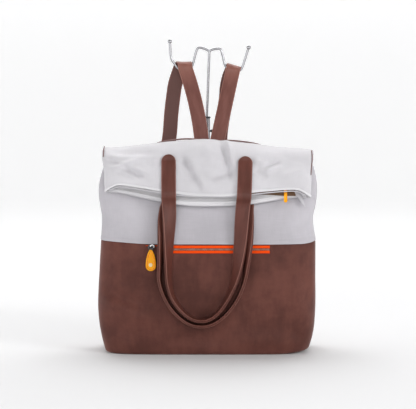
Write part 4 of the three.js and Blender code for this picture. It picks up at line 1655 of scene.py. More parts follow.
    def crest_shade(self, name: str, first: float, last: float) -> Piece:
        """A thin dark strip behind the fold's crest: painted shade of the rear cloth there.

        Args:
            name: the piece's name.
            first: x of its left end.
            last: x of its right end.

        Returns:
            The piece.
        """
        f, mould = self.form, Mould()
        middle = (float(f.flap_face(0, f.shoulder)) + float(f.back_y(f.shoulder))) / 2
        shares = np.linspace(0, 1, 30)
        xs = lerp(first, last, shares)
        z = f.fold_top(xs) + 0.9 - 2.6 * np.abs(2 * shares - 1) ** 3
        wire(mould, np.stack([xs, np.full(30, middle + 12), z], axis=1), 1.5, 14)
        return mould.make(name)

    def fold_end_shade(self, name: str, side: Side, high: float, low: float) -> Piece:
        """A dark strip down one side of the flap at the end of the fold: painted shade of the fold's open end.

        Args:
            name: the piece's name.
            side: the side.
            high: the height of its upper end.
            low: the height of its lower end.

        Returns:
            The piece.
        """
        f, mould, points = self.form, Mould(), []
        for z in np.linspace(high, low, 18):
            x = side.value * (f.flap_half(max(f.shoulder - z, 0) / f.drop) - 2.6)
            points.append((x, float(f.shown_face(x, z)) + 0.5, z))
        wire(mould, np.array(points), 0.9, 12)
        return mould.make(name)

    def build(self) -> None:
        """Makes and dresses both parts, the piping of painted highlight and the strips of painted shade."""
        place_piece(self.lower(), CLOTH, "lower_body")
        place_piece(self.upper(), CANVAS, "upper_body")
        for crest_shade in self.crest_shades:
            place_piece(self.crest_shade(*crest_shade), SHADE_STRIP)
        place_piece(self.piping("outer_edge_piping", True), PIPING_HIGHLIGHT)
        place_piece(self.piping("inner_edge_piping", False), PIPING_HIGHLIGHT)
        for end in self.ends:
            place_piece(self.fold_end_shade(*end), SHADE_STRIP)


@dataclass
class Handle:
    """A tote handle: sewn down at both tips, hanging as a U in front.

    Args:
        name: the piece's name.
        node: the node that it replaces.
        tip_drop: how far its left and right tips are below the fold's top.
        rows: its free run: down as a share of the reach, side as a share of the spread, clear as a share of
            the stand-off, and its turn in degrees.
        outside: whether it is sewn on the outer layer.
        tips: x of its left and right tips.
        edges: x where its left and right sides leave the edge that they are sewn to.
        spread: x that a side of 1 stands for.
        reach: how far below the fold's top a down of 1 is.
        soft: how far its middle stays off the cloth where it lies flat.
    """

    name: str
    node: str
    tip_drop: Pair
    rows: tuple[tuple[float, float, float, float], ...]
    outside: bool
    tips: Pair = (-70, 70)
    edges: Pair = (-70, 70)
    form: BagForm = field(default_factory=BagForm)
    cut: StrapCut = StrapCut(26, 4.8, 0.8, 0.1)
    spread: float = 70
    reach: float = 333
    below_edge: float = 3
    gap: float = 0.3
    soft: float = 2.5

    def sewn_face(self, x: float, z: float) -> float:
        """Finds where the middle of the sewn part lies.

        Args:
            x: its place across.
            z: its height.

        Returns:
            How far back it is.
        """
        if not self.outside:
            return float(self.form.flap_under(x, z)) + self.form.under_gap / 2
        nearby = [float(self.form.shown_face(x + dx, z)) for dx in (-11, -6, 0, 6, 11)]
        return min(nearby) - self.gap - self.cut.thickness / 2

    def sewn(self, which: int, turn: float) -> list[Station]:
        """The sewn part of one side, from its tip down.

        Args:
            which: 0 for the left side, 1 for the right side.
            turn: which way the strap faces there, in degrees.

        Returns:
            The places along it.
        """
        edge = self.form.outer_edge if self.outside else self.form.inner_edge
        tip, end = self.form.fold - self.tip_drop[which], float(edge(self.edges[which])) - self.below_edge
        radius = self.cut.width / 2
        heights = [tip - down for down in round_tip(radius, 6, 91, 12)]
        heights += list(np.linspace(tip - radius, end, 9)[1:])
        xs = [lerp(self.tips[which], self.edges[which], (tip - z) / (tip - end)) for z in heights]
        return [Station((x, self.sewn_face(x, z), z), turn) for x, z in zip(xs, heights)]

    def free(self) -> list[Station]:
        """The part that hangs clear of the bag.

        Returns:
            The places along it.
        """
        stand_off = self.form.under_gap + self.form.flap_thickness
        stations = []
        for down, side, clear, turn in self.rows:
            x, z = self.spread * side, self.form.fold - self.reach * down
            angle = math.radians(turn)
            deep = self.cut.width / 2 * math.sin(angle) + self.soft * abs(math.cos(angle))
            stations.append(Station((x, float(self.form.face(x, z, -1)) - clear * stand_off - deep, z), turn))
        return stations

    def stations(self) -> list[Station]:
        """Finds every place along the handle, with 5 steps for each row of its free run."""
        left, right = self.sewn(0, 0), self.sewn(1, 180)[::-1]
        return left[:-1] + refined([left[-1], *self.free(), right[0]], 5) + right[1:]

    def build(self) -> None:
        """Makes and dresses the handle."""
        place_piece(strap(self.name, self.stations(), self.cut), HANDLE_HIDE, self.node)


BACK_HANDLE = Handle(
    "back_handle_strap",
    "back_handle",
    (26.6, 29.8),
    (
        (0.345, -0.99, 0.68, 12), (0.42, -0.98, 0.45, 28), (0.515, -0.99, 0.28, 46), (0.6, -1.0, 0.19, 58),
        (0.69, -1.0, 0.14, 66), (0.765, -0.985, 0.13, 71), (0.835, -0.91, 0.13, 77),
        (0.89, -0.77, 0.13, 82), (0.935, -0.58, 0.13, 86), (0.963, -0.38, 0.13, 89),
        (0.972, -0.17, 0.13, 90), (0.963, 0.04, 0.13, 91), (0.932, 0.24, 0.13, 93), (0.885, 0.41, 0.13, 97),
        (0.825, 0.555, 0.13, 104), (0.752, 0.68, 0.14, 116), (0.665, 0.765, 0.18, 130),
        (0.55, 0.83, 0.32, 148), (0.43, 0.87, 0.45, 163), (0.35, 0.9, 0.68, 172),
    ),
    True,
    (-70.4, 68),
    (-69.3, 64.6),
    reach=330.8,
)

FRONT_HANDLE = Handle(
    "front_handle_strap",
    "front_handle",
    (45, 45),
    (
        (0.375, -1.05, 0.06, 5), (0.427, -1.09, 0.1, 20), (0.487, -1.12, 0.16, 40),
        (0.563, -1.16, 0.17, 60), (0.65, -1.2, 0.14, 74), (0.75, -1.22, 0.13, 82), (0.83, -1.12, 0.13, 87),
        (0.9, -0.94, 0.13, 89), (0.957, -0.69, 0.13, 90), (0.99, -0.43, 0.13, 90), (1.0, -0.17, 0.13, 90),
        (0.99, 0.09, 0.13, 90), (0.957, 0.35, 0.13, 90), (0.9, 0.6, 0.13, 91), (0.825, 0.81, 0.13, 93),
        (0.742, 0.935, 0.13, 98), (0.65, 0.99, 0.13, 110), (0.563, 1.01, 0.13, 130),
        (0.487, 1.0, 0.12, 150), (0.427, 0.995, 0.08, 164), (0.375, 0.99, 0.06, 175),
    ),
    False,
    reach=331.4,
)


@dataclass
class ShoulderStrap:
    """A shoulder strap, from its top seam over its hook and down to its foot.

    Args:
        name: the piece's name.
        node: the node that it replaces.
        side: which side it is on.
        sewn: x of its top end.
        top: the height of its bend over the hook.
        up: x of its middle before the bend.
        down: x of its middle after the bend.
        lean: the tilt of the bend, in degrees.
        rows: its run behind the hook: shares of the way down, and of the foot's distance from the middle.
        bow: how far its front run bows to the right.
        depth: how thick it is over the hook, with its clearance.
        foot_side: how far from the middle that end is.
        bend: the inner radius of the bend over the hook.
        leave: how far round the fold it stays against the cloth, in degrees.
    """

    name: str
    node: str
    side: Side
    sewn: float
    top: float
    up: float
    down: float
    lean: float
    rows: Pairs
    bow: float = 0
    form: BagForm = field(default_factory=BagForm)
    cut: StrapCut = StrapCut(27, 3.0, 0.35, 0.1)
    depth: float = 3.2
    seam: float = 32
    foot: float = 25
    foot_side: float = 134
    bend: float = 9
    leave: float = 49
    gap: float = 0.3

    def upper_end(self) -> list[Station]:
        """The sewn top end and its way round the fold's rear edge.

        Returns:
            The places along it.
        """
        f, x = self.form, self.sewn
        out = self.depth / 2 + 3 * self.gap
        low = f.shoulder - self.seam / 2
        tip = [low + up for up in round_tip(self.cut.width / 2, 6, 91, 12)]
        stations = [Station((x, float(f.face(x, z, 1)) + out, z)) for z in tip]
        wall = float(f.face(x, f.shoulder, 1))
        middle = (float(f.flap_face(x, f.shoulder)) + wall) / 2
        rise = float(f.fold_top(x)) - f.shoulder + out
        for angle in np.linspace(0, math.radians(self.leave), 9)[1:]:
            y = middle + (wall - middle + out) * math.cos(angle)
            stations.append(Station((x, y, f.shoulder + rise * math.sin(angle))))
        return stations

    def hook_bend(self) -> list[Station]:
        """The bend over the hook, from the front to the rear.

        Returns:
            The places along it.
        """
        radius, steps = self.bend + self.depth / 2, 24
        middle = self.top - self.depth - self.bend
        stations = []
        for share in (i / steps for i in range(steps + 1)):
            bulge = math.sin(math.pi * share)
            x = lerp(self.up, self.down, share**2) - radius * bulge * math.sin(math.radians(self.lean))
            centre = (x, self.form.post_y() - radius * math.cos(math.pi * share), middle + radius * bulge)
            stations.append(Station(centre, 0, self.lean * bulge))
        return stations

    def seated(self, z: float) -> Station:
        """Lays the foot against the bag's back.

        Args:
            z: the height.

        Returns:
            The place there.
        """
        x, half = self.side.value * self.foot_side, self.cut.width / 2
        left, mid, right = (float(self.form.face(x + d, z, 1)) for d in (-half, 0, half))
        chord = (left + right) / 2
        y = chord + max(mid - chord, 0) + 2 * self.gap + self.depth / 2
        return Station((x, y, z), math.degrees(math.atan2(right - left, self.cut.width)))

    def stations(self) -> list[Station]:
        """Finds every place along the strap.

        Returns:
            The places.
        """
        top, bend = self.upper_end(), self.hook_bend()
        a, b = np.array(top[-1].centre), np.array(bend[0].centre)
        aside = np.array([4 * self.bow, 0, 0])
        rise = [Station(tuple(lerp(a, b, t) + aside * t * (1 - t))) for t in np.linspace(0, 1, 16)[1:-1]]
        high = self.foot + self.seam
        over, foot_top = bend[-1], self.seated(high)
        run = [over]
        for down, share in self.rows:
            y = lerp(over.centre[1], foot_top.centre[1], down)
            z = lerp(over.centre[2], foot_top.centre[2], down)
            run.append(Station((foot_top.centre[0] * share, y, z), foot_top.turn * down))
        fall = refined([*run, foot_top], 9)[1:]
        radius = self.cut.width / 2
        sewn = [self.seated(z) for z in np.linspace(high, self.foot + radius, 5)[1:]]
        tip = [self.seated(self.foot + up) for up in round_tip(radius, 78, 0, -12)]
        return top + rise + bend + fall + sewn + tip

    def build(self) -> None:
        """Makes and dresses the strap."""
        place_piece(strap(self.name, self.stations(), self.cut), SHOULDER_HIDE, self.node)


LEFT_STRAP = ShoulderStrap(
    "left_strap",
    "left_shoulder_strap",
    Side.LEFT,
    -11,
    528.5,
    -41.9,
    -51.5,
    0,
    ((0.06, 0.452), (0.11, 0.481), (0.187, 0.512), (0.293, 0.545), (0.45, 0.66), (0.62, 0.8), (0.78, 0.91)),
    4.4,
)
RIGHT_STRAP = ShoulderStrap(
    "right_strap",
    "right_shoulder_strap",
    Side.RIGHT,
    16.9,
    522.6,
    46.3,
    44.2,
    -16.3,
    ((0.03, 0.293), (0.07, 0.266), (0.12, 0.252), (0.28, 0.175), (0.42, 0.24), (0.6, 0.5), (0.78, 0.84)),
)


@dataclass
class PocketZip:
    """The zip of the front pocket, its slider and its drop pull.

    Args:
        covered: x where the lower tape and the coil start.
        pivot: the middle of the pull's hinge.
        slider_steps: the scale of the slider's outline, and how far before its back that is.
        drop_steps: how far the drop's outline is drawn in, and how far behind its front that is.
        line_steps: the same for the line inside its rim.
        dot_steps: the radius of the dot, and how far behind the drop's front that is.
    """

    form: BagForm = field(default_factory=BagForm)
    length: float = 222
    drop: float = 1.5
    tape: float = 5.2
    teeth: float = 3.8
    thickness: float = 1
    gap: float = 0.3
    covered: float = -86.5
    pitch: float = 1.6
    pivot: Point = (-101.01, -74.1638, 194.4)
    bail: float = 0.9
    bail_span: float = 7
    hang: float = 1.6
    pull_length: float = 39.4
    pull_width: float = 18.2
    pull_thickness: float = 3.2
    slider_steps: Pairs = (
        (0.9, 0), (1, 0.4), (1, 1), (0.82, 1.2), (0.82, 1.5), (1, 1.7), (1, 2.3), (0.88, 2.6),
    )
    drop_steps: Pairs = (
        (1, 3.2), (0.4, 3.05), (0, 2.5), (0, 0.7), (0.4, 0.15), (0.9, 0), (1.7, 0), (2.2, 0.45), (3, 0.45),
    )
    line_steps: Pairs = ((2.1, 0.6), (2.15, 0.22), (2.9, 0.22), (3, 0.6))
    dot_steps: Pairs = ((3.4, 0.7), (3.4, 0.25), (3, 0.05), (2, 0.02))

    def strip(self, name: str, below: float) -> Piece:
        """One side of the tape.

        Args:
            name: the piece's name.
            below: how far its middle is below the zip's top.

        Returns:
            The piece.
        """
        z = self.form.seam - self.drop - below
        upper = below < self.tape
        xs = np.linspace(-self.length / 2 if upper else self.covered, self.length / 2, 110)
        shares = lerp(0.2, 1, smooth(self.covered - 1, self.covered + 1, xs)) if upper else np.ones(len(xs))
        y = self.form.face(xs, z, -1) - self.gap - self.thickness / 2
        ups = z + (1 - shares) * self.tape / 2
        stations = [Station((float(x), float(v), float(up)), 0, 89.5) for x, v, up in zip(xs, y, ups)]
        return strap(name, stations, StrapCut(self.tape - self.gap, self.thickness, 0.05, 0.08), shares)

    def coil(self) -> Piece:
        """Makes the closed coil: two rows of small loops that mesh.

        Returns:
            The piece.
        """
        z, mould, shift = self.form.seam - self.drop - self.tape - self.teeth / 2, Mould(), 0.25
        half, reach = self.pitch * 0.42, self.teeth / 2 - shift
        for i in range(int((self.length / 2 - self.covered) / self.pitch)):
            x = self.covered + (i + 0.5) * self.pitch
            y = float(self.form.face(x, z, -1)) - self.gap
            up = z + (shift if i % 2 else -shift)
            rounded_box(mould, (x - half, y - 1.15, up - reach), (x + half, y - 0.15, up + reach), 0.3)
        return mould.make("pocket_coil")

    def slider(self) -> Piece:
        """Makes the slider's shield-shaped body with its bail; the dark plate is drawn large enough to also
        cover the drop's shadow round it, as painted shade.

        Returns:
            The piece.
        """
        px, py, pz = self.pivot
        back, mould, turns = py + 6.2, Mould(), turns_of(40)
        x, z = (np.sign(v) * np.abs(v) ** 0.75 for v in (np.cos(turns), np.sin(turns)))
        # The plate is sized to cover the shadow round the drop's top as well: painted shade
        high = lerp(5.2, 4.6, (np.cos(turns) + 1) / 2)
        steps = self.slider_steps
        loft(mould, [upright(px + 6 * s * x, back - before, pz + high * s * z + 0.5) for s, before in steps])
        half = self.bail_span / 2 + self.bail
        left = ((-half, 4), (-half, 0.8), (0.5 - half, 0.1), (1.3 - half, 0))
        path = [(px + x, py + y, pz) for x, y in left] + [(px - x, py + y, pz) for x, y in left[::-1]]
        wire(mould, smooth_path(path, 6), self.bail, 14)
        return mould.make("pocket_slider_body")

    def loop(self) -> Piece:
        """Makes the loop that stands on the slider's upper end, in paler steel as a painted highlight.

        Returns:
            The piece.
        """
        px, py, pz = self.pivot
        mould, turn, radius = Mould(), np.radians(np.linspace(-62, 200, 34)), 3
        x, z = px + 2.1 + radius * np.cos(turn), pz + 2.5 + radius * np.sin(turn)
        wire(mould, upright(x, py + 3.7, z), 1.5, 16)
        return mould.make("pocket_slider_loop")

    def link(self) -> Piece:
        """Makes the metal link between the bail and the drop: a loop round the bar with two cheeks.

        Returns:
            The piece.
        """
        px, py, pz = self.pivot
        mould, turns, half, radius, bore = Mould(), turns_of(28), 3.2, 2.2, self.bail + 0.4
        rings = [
            np.stack([np.full(28, px + x), py + r * np.cos(turns), pz + r * np.sin(turns)], axis=1)
            for x, r in ((-half, radius), (half, radius), (half, bore), (-half, bore))
        ]
        start = mould.add_grid(np.stack(rings), np.linspace(0, 12, 29), np.array([0, 6, 8, 14.0]))
        mould.join(start + 3 * 28, start, 28)
        inside, plate = self.pull_thickness / 2 + self.gap, 0.9
        for side, long, cheek in ((-1, 2.7, 2.2), (1, 8, half)):
            near, far = sorted((side * inside, side * (inside + plate)))
            low, high = (px - cheek, py + near, pz - long), (px + cheek, py + far, pz - self.hang)
            rounded_box(mould, low, high, 0.4)
        return mould.make("pocket_pull_cheeks")

    def drop_outline(self, inset: float, deep: float) -> Array:
        """Finds the outline of the drop at a depth.

        Args:
            inset: how far it is drawn in.
            deep: how far it is behind the drop's front.

        Returns:
            Its points.
        """
        px, py, pz = self.pivot
        top, radius, neck, shares = pz - self.hang, self.pull_width / 2, 1.3, np.linspace(0, 1, 17)
        centre = top - self.pull_length + radius
        side_z = bezier(top, lerp(top, centre, 0.3), lerp(top, centre, 0.6), centre, shares)
        right = np.stack([bezier(neck, 7, radius, radius, shares), side_z], axis=1)
        around = np.linspace(0, -math.pi, 27)[1:-1]
        bowl = np.stack([radius * np.cos(around), centre + radius * np.sin(around)], axis=1)
        points = np.concatenate([right, bowl, right[::-1] * [-1, 1]])
        tangent = np.roll(points, -1, axis=0) - np.roll(points, 1, axis=0)
        normal = np.stack([tangent[:, 1], -tangent[:, 0]], axis=1)
        normal /= np.linalg.norm(normal, axis=1, keepdims=True)
        normal *= np.sign(((points - [0, centre]) * normal).sum(axis=1, keepdims=True))
        x, z = (points - normal * inset).T
        x = np.where(points[:, 0] >= 0, np.maximum(x, 0.2), np.minimum(x, -0.2))
        z = np.clip(z, centre - 36, top - inset * 0.6)
        return upright(px - 0.6 + x, py - self.pull_thickness / 2 + deep, z)

    def dot(self) -> Piece:
        """Makes the plain dot on the drop.

        Returns:
            The piece.
        """
        mould, turns, (px, py, pz) = Mould(), turns_of(32), self.pivot
        x, front = px - 0.9, py - self.pull_thickness / 2
        z = pz - self.hang - self.pull_length + self.pull_width / 2 + 2
        c, s, steps = np.cos(turns), np.sin(turns), self.dot_steps
        loft(mould, [upright(x + r * c, front + deep, z + r * s) for r, deep in steps])
        return mould.make("pocket_drop_dot")

    def drop_piece(self, name: str, steps: Pairs) -> Piece:
        """Makes a piece of the drop from its outlines.

        Args:
            name: the piece's name.
            steps: how far each outline is drawn in, and how far behind the drop's front it is.

        Returns:
            The piece.
        """
        mould = Mould()
        loft(mould, [self.drop_outline(*step) for step in steps])
        return mould.make(name)

    def build(self) -> None:
        """Makes and dresses the zip."""
        low = self.tape * 1.5 + self.teeth
        place_piece(self.strip("pocket_upper_tape", self.tape / 2), ORANGE_TAPE, "pocket_tape_upper")
        place_piece(self.strip("pocket_lower_tape", low), ORANGE_TAPE, "pocket_tape_lower")
        place_piece(self.coil(), COIL, "pocket_teeth")
        place_piece(self.slider(), DARK_STEEL_AND_SHADE, "pocket_slider")
        place_piece(self.loop(), HIGHLIGHT_STEEL)
        place_piece(self.link(), DARK_STEEL_AND_SHADE, "pocket_pull_link", body=Body.POCKET_PULL)
        drop = self.drop_piece("pocket_drop", self.drop_steps)
        place_piece(drop, YELLOW, "pocket_pull_drop", body=Body.POCKET_PULL)
        place_piece(self.drop_piece("pocket_drop_line", self.line_steps), ORANGE_LINE, body=Body.POCKET_PULL)
        place_piece(self.dot(), PALE_DOT, body=Body.POCKET_PULL)


def bezier(a: float, b: float, c: float, d: float, t: Array) -> Array:
    """Points on a cubic curve."""
    return a * (1 - t) ** 3 + 3 * b * t * (1 - t) ** 2 + 3 * c * t * t * (1 - t) + d * t**3


@dataclass
class MouthZip:
    """What shows in the mouth of the fold: tape, slider, narrow pull and the loose corner of the gusset.

    Args:
        pull_aside: how far the pull is right of its hinge.
        rise: the tape's height above the inner layer's edge.
        tab_steps: how far the pull's outline is drawn in, and how far behind its front that is.
        corner_ends: x and z of the loose corner's upper end and of its point.
    """

    form: BagForm = field(default_factory=BagForm)
    pull_at: float = 136.9862
    pull_width: float = 6.2
    pull_length: float = 25
    pull_thickness: float = 1.6
    pull_aside: float = 2
    tape_thickness: float = 1.4
    tape_width: float = 13
    gap: float = 0.3
    rise: Profile = Profile((-0.84, -0.6, -0.3, 0, 0.4, 0.62, 0.77, 0.88), (21, 26, 28, 28, 24, 17, 11, 8.5))
    tab_steps: Pairs = ((0.5, 1.6), (0, 1.2), (0, 0.4), (0.5, 0), (1.2, 0), (1.5, 0.25))
    corner_ends: Pairs = ((161, 296), (174.5, 266.5))

    def slope(self, x: float, z: float) -> float:
        """How much the inner layer moves back for each millimetre of height."""
        return float(self.form.mouth_floor(x, z + 1) - self.form.mouth_floor(x, z - 1)) / 2

    def tape(self) -> Piece:
        """Makes the zip tape on the inner layer.

        Returns:
            The piece.
        """
        f, stations = self.form, []
        for share in np.linspace(-0.78, 0.88, 70):
            x = float(share * f.flap_half(1))
            z = float(f.inner_edge(x) + self.rise(x / f.flap_half(1)))
            slope = self.slope(x, z)
            out = (3 * self.gap + self.tape_thickness / 2) * math.hypot(1, slope)
            lean = math.degrees(math.atan(1 / slope)) if slope else 89
            stations.append(Station((x, float(f.mouth_floor(x, z)) - out, z), 90, lean))
        cut = StrapCut(self.tape_width, self.tape_thickness, 0.1, 0.25)
        return strap("mouth_zip_tape", stations, cut, np.ones(len(stations)))

    def pivot(self) -> Point:
        """Finds the middle of the pull's hinge.

        Returns:
            Its place.
        """
        z = float(self.form.outer_edge(self.pull_at)) + 3
        slope = self.slope(self.pull_at, z)
        return self.pull_at, float(self.form.mouth_floor(self.pull_at, z)) - 6 * math.hypot(1, slope), z

    def place(self, mould: Mould) -> None:
        """Leans what is laid out round the pivot along the inner layer.

        Args:
            mould: the shape.
        """
        x, y, z = self.pivot()
        tilt = -math.atan(self.slope(x, z))
        c, s = math.cos(tilt), math.sin(tilt)
        for points in mould.points:
            across, deep, up = points.T.copy()
            points[:] = np.stack([across + x, deep * c - up * s + y, deep * s + up * c + z], axis=1)

    def tab(self, inset: float, deep: float) -> Array:
        """Finds the outline of the pull at a depth, laid out round the pivot.

        Args:
            inset: how far it is drawn in.
            deep: how far it is behind the pull's front.

        Returns:
            Its points.
        """
        half, turns = self.pull_width / 2, np.linspace(math.pi, 2 * math.pi, 25)
        top, radius = half * 0.86 - inset, half - inset
        x = np.array([-top, *(radius * np.cos(turns)), top]) + self.pull_aside
        z = np.array([-inset, *(half - self.pull_length + radius * np.sin(turns)), -inset])
        return upright(x, deep - self.pull_thickness / 2, z)

    def pull(self) -> Piece:
        """Makes the narrow pull with a round end and a soft rim.

        Returns:
            The piece.
        """
        mould = Mould()
        loft(mould, [self.tab(*step) for step in self.tab_steps])
        wire(mould, np.linspace((-1.6, 0, 0), (3.6, 0, 0), 5), 1.25, 20)
        self.place(mould)
        return mould.make("mouth_zip_tab")

    def slider(self) -> Piece:
        """Makes the slider's plate and bail.

        Returns:
            The piece.
        """
        mould, left = Mould(), ((-3.9, 3.3), (-3.9, 0.7), (-3.4, 0.1), (-2.8, 0))
        rounded_box(mould, (-4.2, 3.0, -4.6), (4.2, 4.1, 4.6), 1.2)
        path = [(x, y, 0) for x, y in left] + [(-x, y, 0) for x, y in left[::-1]]
        wire(mould, smooth_path(path, 4), 0.6, 12)
        self.place(mould)
        return mould.make("mouth_zip_slider")

    def corner(self) -> Piece:
        """Makes the loose corner of the gusset, folded to a point.

        Returns:
            The piece.
        """
        f, mould, ((left, high), (right, low)) = self.form, Mould(), self.corner_ends
        rows, across = [], np.linspace(-1, 1, 9)
        for t in np.linspace(0, 1, 15):
            x, z = lerp(left, right, t**1.15), lerp(high, low, t)
            rest = max(z, float(f.inner_edge(x)) + 1)
            y = float(f.mouth_floor(x, rest)) - 2.6 - 1.8 * math.sin(math.pi * t)
            peak = (1.7 * (1 - t) + 0.4) * (1 - np.abs(across + 0.25) ** 1.4)
            wide = x + lerp(7.2, 0.7, t**0.8) * across
            top = np.stack([wide, y - peak, z + 1.2 * across * (1 - t)], axis=1)
            under = top[::-1].copy()
            under[:, 1] = y + 1.1 - peak[::-1]
            rows.append(np.concatenate([top, under]))
        loft(mould, rows)
        return mould.make("gusset_corner", crisp=35)

    def build(self) -> None:
        """Makes and dresses what shows in the mouth."""
        place_piece(self.tape(), MOUTH_TAPE, "mouth_tape")
        place_piece(self.slider(), DARK_STEEL_AND_SHADE, "mouth_slider")
        place_piece(self.pull(), YELLOW, "mouth_pull", body=Body.MOUTH_PULL)
        # The loose corner is drawn in the paler piping canvas, as a painted highlight
        place_piece(self.corner(), PIPING_HIGHLIGHT, "gusset_tab")


@dataclass
class Stand:
    """The display stand: base, tube, rod and both hooks.

    Args:
        hooks: the rows of both hooks: side and rise.
        collar_steps: the height below the tube's top and the radius beyond the tube's, round the collar.
        screw_steps: x from the tube's middle and the radius, along the set screw.
        base_steps: how far the base's outline is drawn in, and its height.
    """

    form: BagForm = field(default_factory=BagForm)
    wire_radius: float = 2.4
    tube_radius: float = 6
    tube_top: float = 426
    tube_side: float = -1.8
    tube_foot: float = 6.3
    bore: float = 3.6
    rod_top: float = 549
    rod_side: float = 3
    reach: float = 47.5
    hook_depth: float = 40
    hooks: tuple[Pairs, ...] = (
        (
            (-0.1, 1.07), (-0.27, 1.13), (-0.39, 1.1), (-0.48, 0.86), (-0.57, 0.44), (-0.66, 0.2),
            (-0.86, 0.08), (-1.02, 0.07), (-1.168, 0.175), (-1.288, 0.355), (-1.39, 0.53), (-1.44, 0.7),
            (-1.468, 1), (-1.485, 1.34),
        ),
        (
            (0.2, 1.05), (0.36, 1.08), (0.5, 1.06), (0.58, 0.82), (0.65, 0.44), (0.74, 0.22), (0.95, 0.13),
            (1.16, 0.04), (1.285, 0.1), (1.366, 0.25), (1.457, 0.57), (1.539, 0.89), (1.585, 1.06),
        ),
    )
    collar_steps: Pairs = ((3.1, 0.7), (2.8, 1), (0.4, 1), (0, 0.6))
    screw_steps: Pairs = (
        (5.2, 1.9), (6.9, 1.9), (7, 2.4), (7.2, 2.7), (9.8, 2.7), (10.1, 2.4), (10.2, 1.2), (9.6, 1.1),
    )
    screw_below: float = 27
    base_size: Point = (170, 130, 18)
    base_steps: Pairs = ((0.6, 0), (0, 0.6), (0, 4.8), (0.35, 5.65), (1.2, 6))

    def rod(self) -> Piece:
        """Makes the rod and its two hooks.

        Returns:
            The piece.
        """
        y, mould, low_end = self.form.post_y(), Mould(), 14
        top, mouth = np.array([self.rod_side, y, self.rod_top]), np.array([self.tube_side, y, self.tube_top])
        low = mouth + (mouth - top) / np.linalg.norm(mouth - top) * low_end
        wire(mould, np.linspace(low, top, 24), self.wire_radius, 20)
        for rows in self.hooks:
            low, deep = self.rod_top - self.hook_depth, self.hook_depth
            hook = [(self.reach * side, y, low + deep * rise) for side, rise in rows]
            wire(mould, smooth_path([top - [0, 0, 1], *hook], 7), self.wire_radius, 20, 0.75)
        return mould.make("hook_rod_wire")

    def tube(self) -> Piece:
        """Makes the tube.

        Returns:
            The piece.
        """
        mould, low, r, bore, top = Mould(), self.tube_foot, self.tube_radius, self.bore, self.tube_top - 3.2
        outside = [(bore, low), (r - 0.3, low), (r, low + 0.3), (r, top)]
        inside = [(bore + 0.6, top), (bore, top - 0.4), (bore, low + 20)]
        turned(mould, outside + inside, (self.tube_side, self.form.post_y()))
        return mould.make("stand_post")

    def collar(self) -> Piece:
        """Makes the dark collar on the tube's mouth, with its set screw.

        Returns:
            The piece.
        """
        mould, y, r, top, bore = Mould(), self.form.post_y(), self.tube_radius, self.tube_top, self.bore
        profile = [(bore, top - 3.1), *((r + out, top - down) for down, out in self.collar_steps)]
        turned(mould, [*profile, (bore + 0.3, top), (bore, top - 0.3)], (self.tube_side, y))
        turns, layers, z = turns_of(24), [], top - self.screw_below
        for x, radius in self.screw_steps:
            ring = [np.full(24, self.tube_side + x), y + radius * np.cos(turns), z + radius * np.sin(turns)]
            layers.append(np.stack(ring, axis=1))
        loft(mould, layers)
        return mould.make("stand_collar")

    def base(self) -> Piece:
        """Makes the flat base plate with soft edges.

        Returns:
            The piece.
        """
        mould, (width, depth, corner) = Mould(), self.base_size
        front = self.form.post_y() - self.tube_radius - 1.2
        low, high = (-width / 2, front), (width / 2, front + depth)
        layers = []
        for inset, z in self.base_steps:
            flat = soft_corners(low, high, corner, inset, 12)
            layers.append(np.column_stack([flat, np.full(len(flat), z)]))
        loft(mould, layers)
        return mould.make("stand_plate")

    def build(self) -> None:
        """Makes and dresses the stand."""
        place_piece(self.rod(), STEEL, "hook_rod")
        place_piece(self.tube(), STEEL, "stand_tube")
        place_piece(self.collar(), DARK_STEEL_AND_SHADE)
        place_piece(self.base(), STEEL, "stand_base")


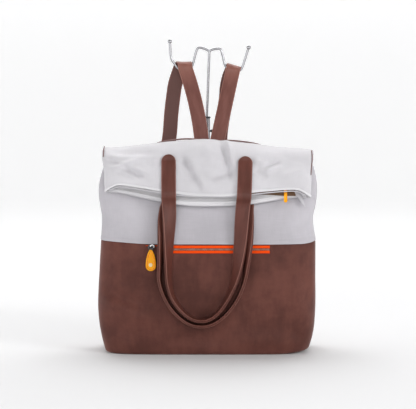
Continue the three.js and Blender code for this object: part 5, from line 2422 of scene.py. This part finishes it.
@dataclass
class Studio:
    """Camera, pale paper backdrop and soft lights.

    Args:
        floor: the floor's reach, the radius of its bend, the wall's top, in metres, and its sides.
        panels: name, place, size and power of each light, in metres and watts.
    """

    distance: float = 2600
    height: float = 480
    aim: float = 272
    front: float = -66
    focal_pixels: float = 1461.236
    image_width: float = 416
    sensor_width: float = 36
    aside: float = 0.45
    floor: tuple[float, float, float, int] = (4.4, 1.0, 2.4, 96)
    panels: tuple[tuple[str, Point, Pair, float], ...] = (
        ("top_panel", (0.0, 0.9, 2.2), (2.6, 2.0), 56),
        ("front_panel", (-0.2, -3.1, 1.1), (2.6, 1.0), 21),
        ("left_panel", (-2.2, -0.3, 1.1), (1.4, 1.4), 12),
        ("right_panel", (2.2, -1.7, 1.5), (0.8, 0.8), 32),
    )
    air: float = 0.1

    def camera(self) -> None:
        """Puts the camera where the photograph's was."""
        data = bpy.data.cameras.new("camera")
        data.sensor_width = self.sensor_width
        data.lens = self.focal_pixels * self.sensor_width / self.image_width
        data.clip_end = 50
        camera = bpy.data.objects.new("camera", data)
        y = self.front - self.distance + BAG_SHIFT
        camera.location = (self.aside * MM, y * MM, self.height * MM)
        pitch = math.atan((self.height - self.aim) / self.distance)
        camera.rotation_euler = (math.pi / 2 - pitch, 0, 0)
        bpy.context.collection.objects.link(camera)
        bpy.context.scene.camera = camera

    def paper(self) -> None:
        """Makes a round floor that curves up into a low wall all round."""
        reach, bend, top, sides = self.floor
        turns = np.linspace(0, math.pi / 2, 20)[1:]
        curve = [(reach - bend + bend * math.sin(a), bend - bend * math.cos(a)) for a in turns]
        profile = [(0.5, 0), (1.5, 0), (reach - bend, 0), *curve, (reach, top)]
        c, s = np.cos(turns_of(sides)), np.sin(turns_of(sides))
        rings = [np.stack([r * c, r * s, np.full(sides, z)], axis=1) for r, z in profile]
        mould, rows = Mould(), np.arange(len(profile), dtype=float)
        start = mould.add_grid(np.stack(rings) / MM, np.linspace(0, 1, sides + 1), rows, flip=True)
        mould.add_face(range(start, start + sides))
        paper = mould.make("paper", shift=0)
        paper.data.materials.append(PAPER.material())

    def light(self, name: str, at: Point, size: Pair, power: float) -> None:
        """Adds one soft panel light that looks at the bag.

        Args:
            name: the light's name.
            at: its place, in metres.
            size: its width and height.
            power: its strength, in watts.
        """
        data = bpy.data.lights.new(name, "AREA")
        data.shape, data.size, data.size_y = "RECTANGLE", size[0], size[1]
        data.energy = power
        lamp = bpy.data.objects.new(name, data)
        lamp.location = at
        lamp.rotation_euler = (Vector((0, 0, 0.25)) - Vector(at)).to_track_quat("-Z", "Y").to_euler()
        bpy.context.collection.objects.link(lamp)

    def build(self) -> None:
        """Sets up the camera, the paper, the lights and the air around."""
        self.camera()
        self.paper()
        for panel in self.panels:
            self.light(*panel)
        world = bpy.data.worlds.new("air")
        world.use_nodes = True
        air = world.node_tree.nodes["Background"].inputs
        air[0].default_value, air[1].default_value = (1, 1, 1, 1), self.air
        bpy.context.scene.world = world
        bpy.context.scene.view_settings.view_transform = "Standard"


def main() -> None:
    """Builds the studio and every sub-assembly in order."""
    logging.basicConfig(level=logging.INFO, format="%(message)s")
    straps = (BACK_HANDLE, FRONT_HANDLE, LEFT_STRAP, RIGHT_STRAP)
    for part in (Studio(), BagCloth(), *straps, PocketZip(), MouthZip(), Stand()):
        LOG.info("building %s", type(part).__name__)
        part.build()


if __name__ == "__main__":
    main()
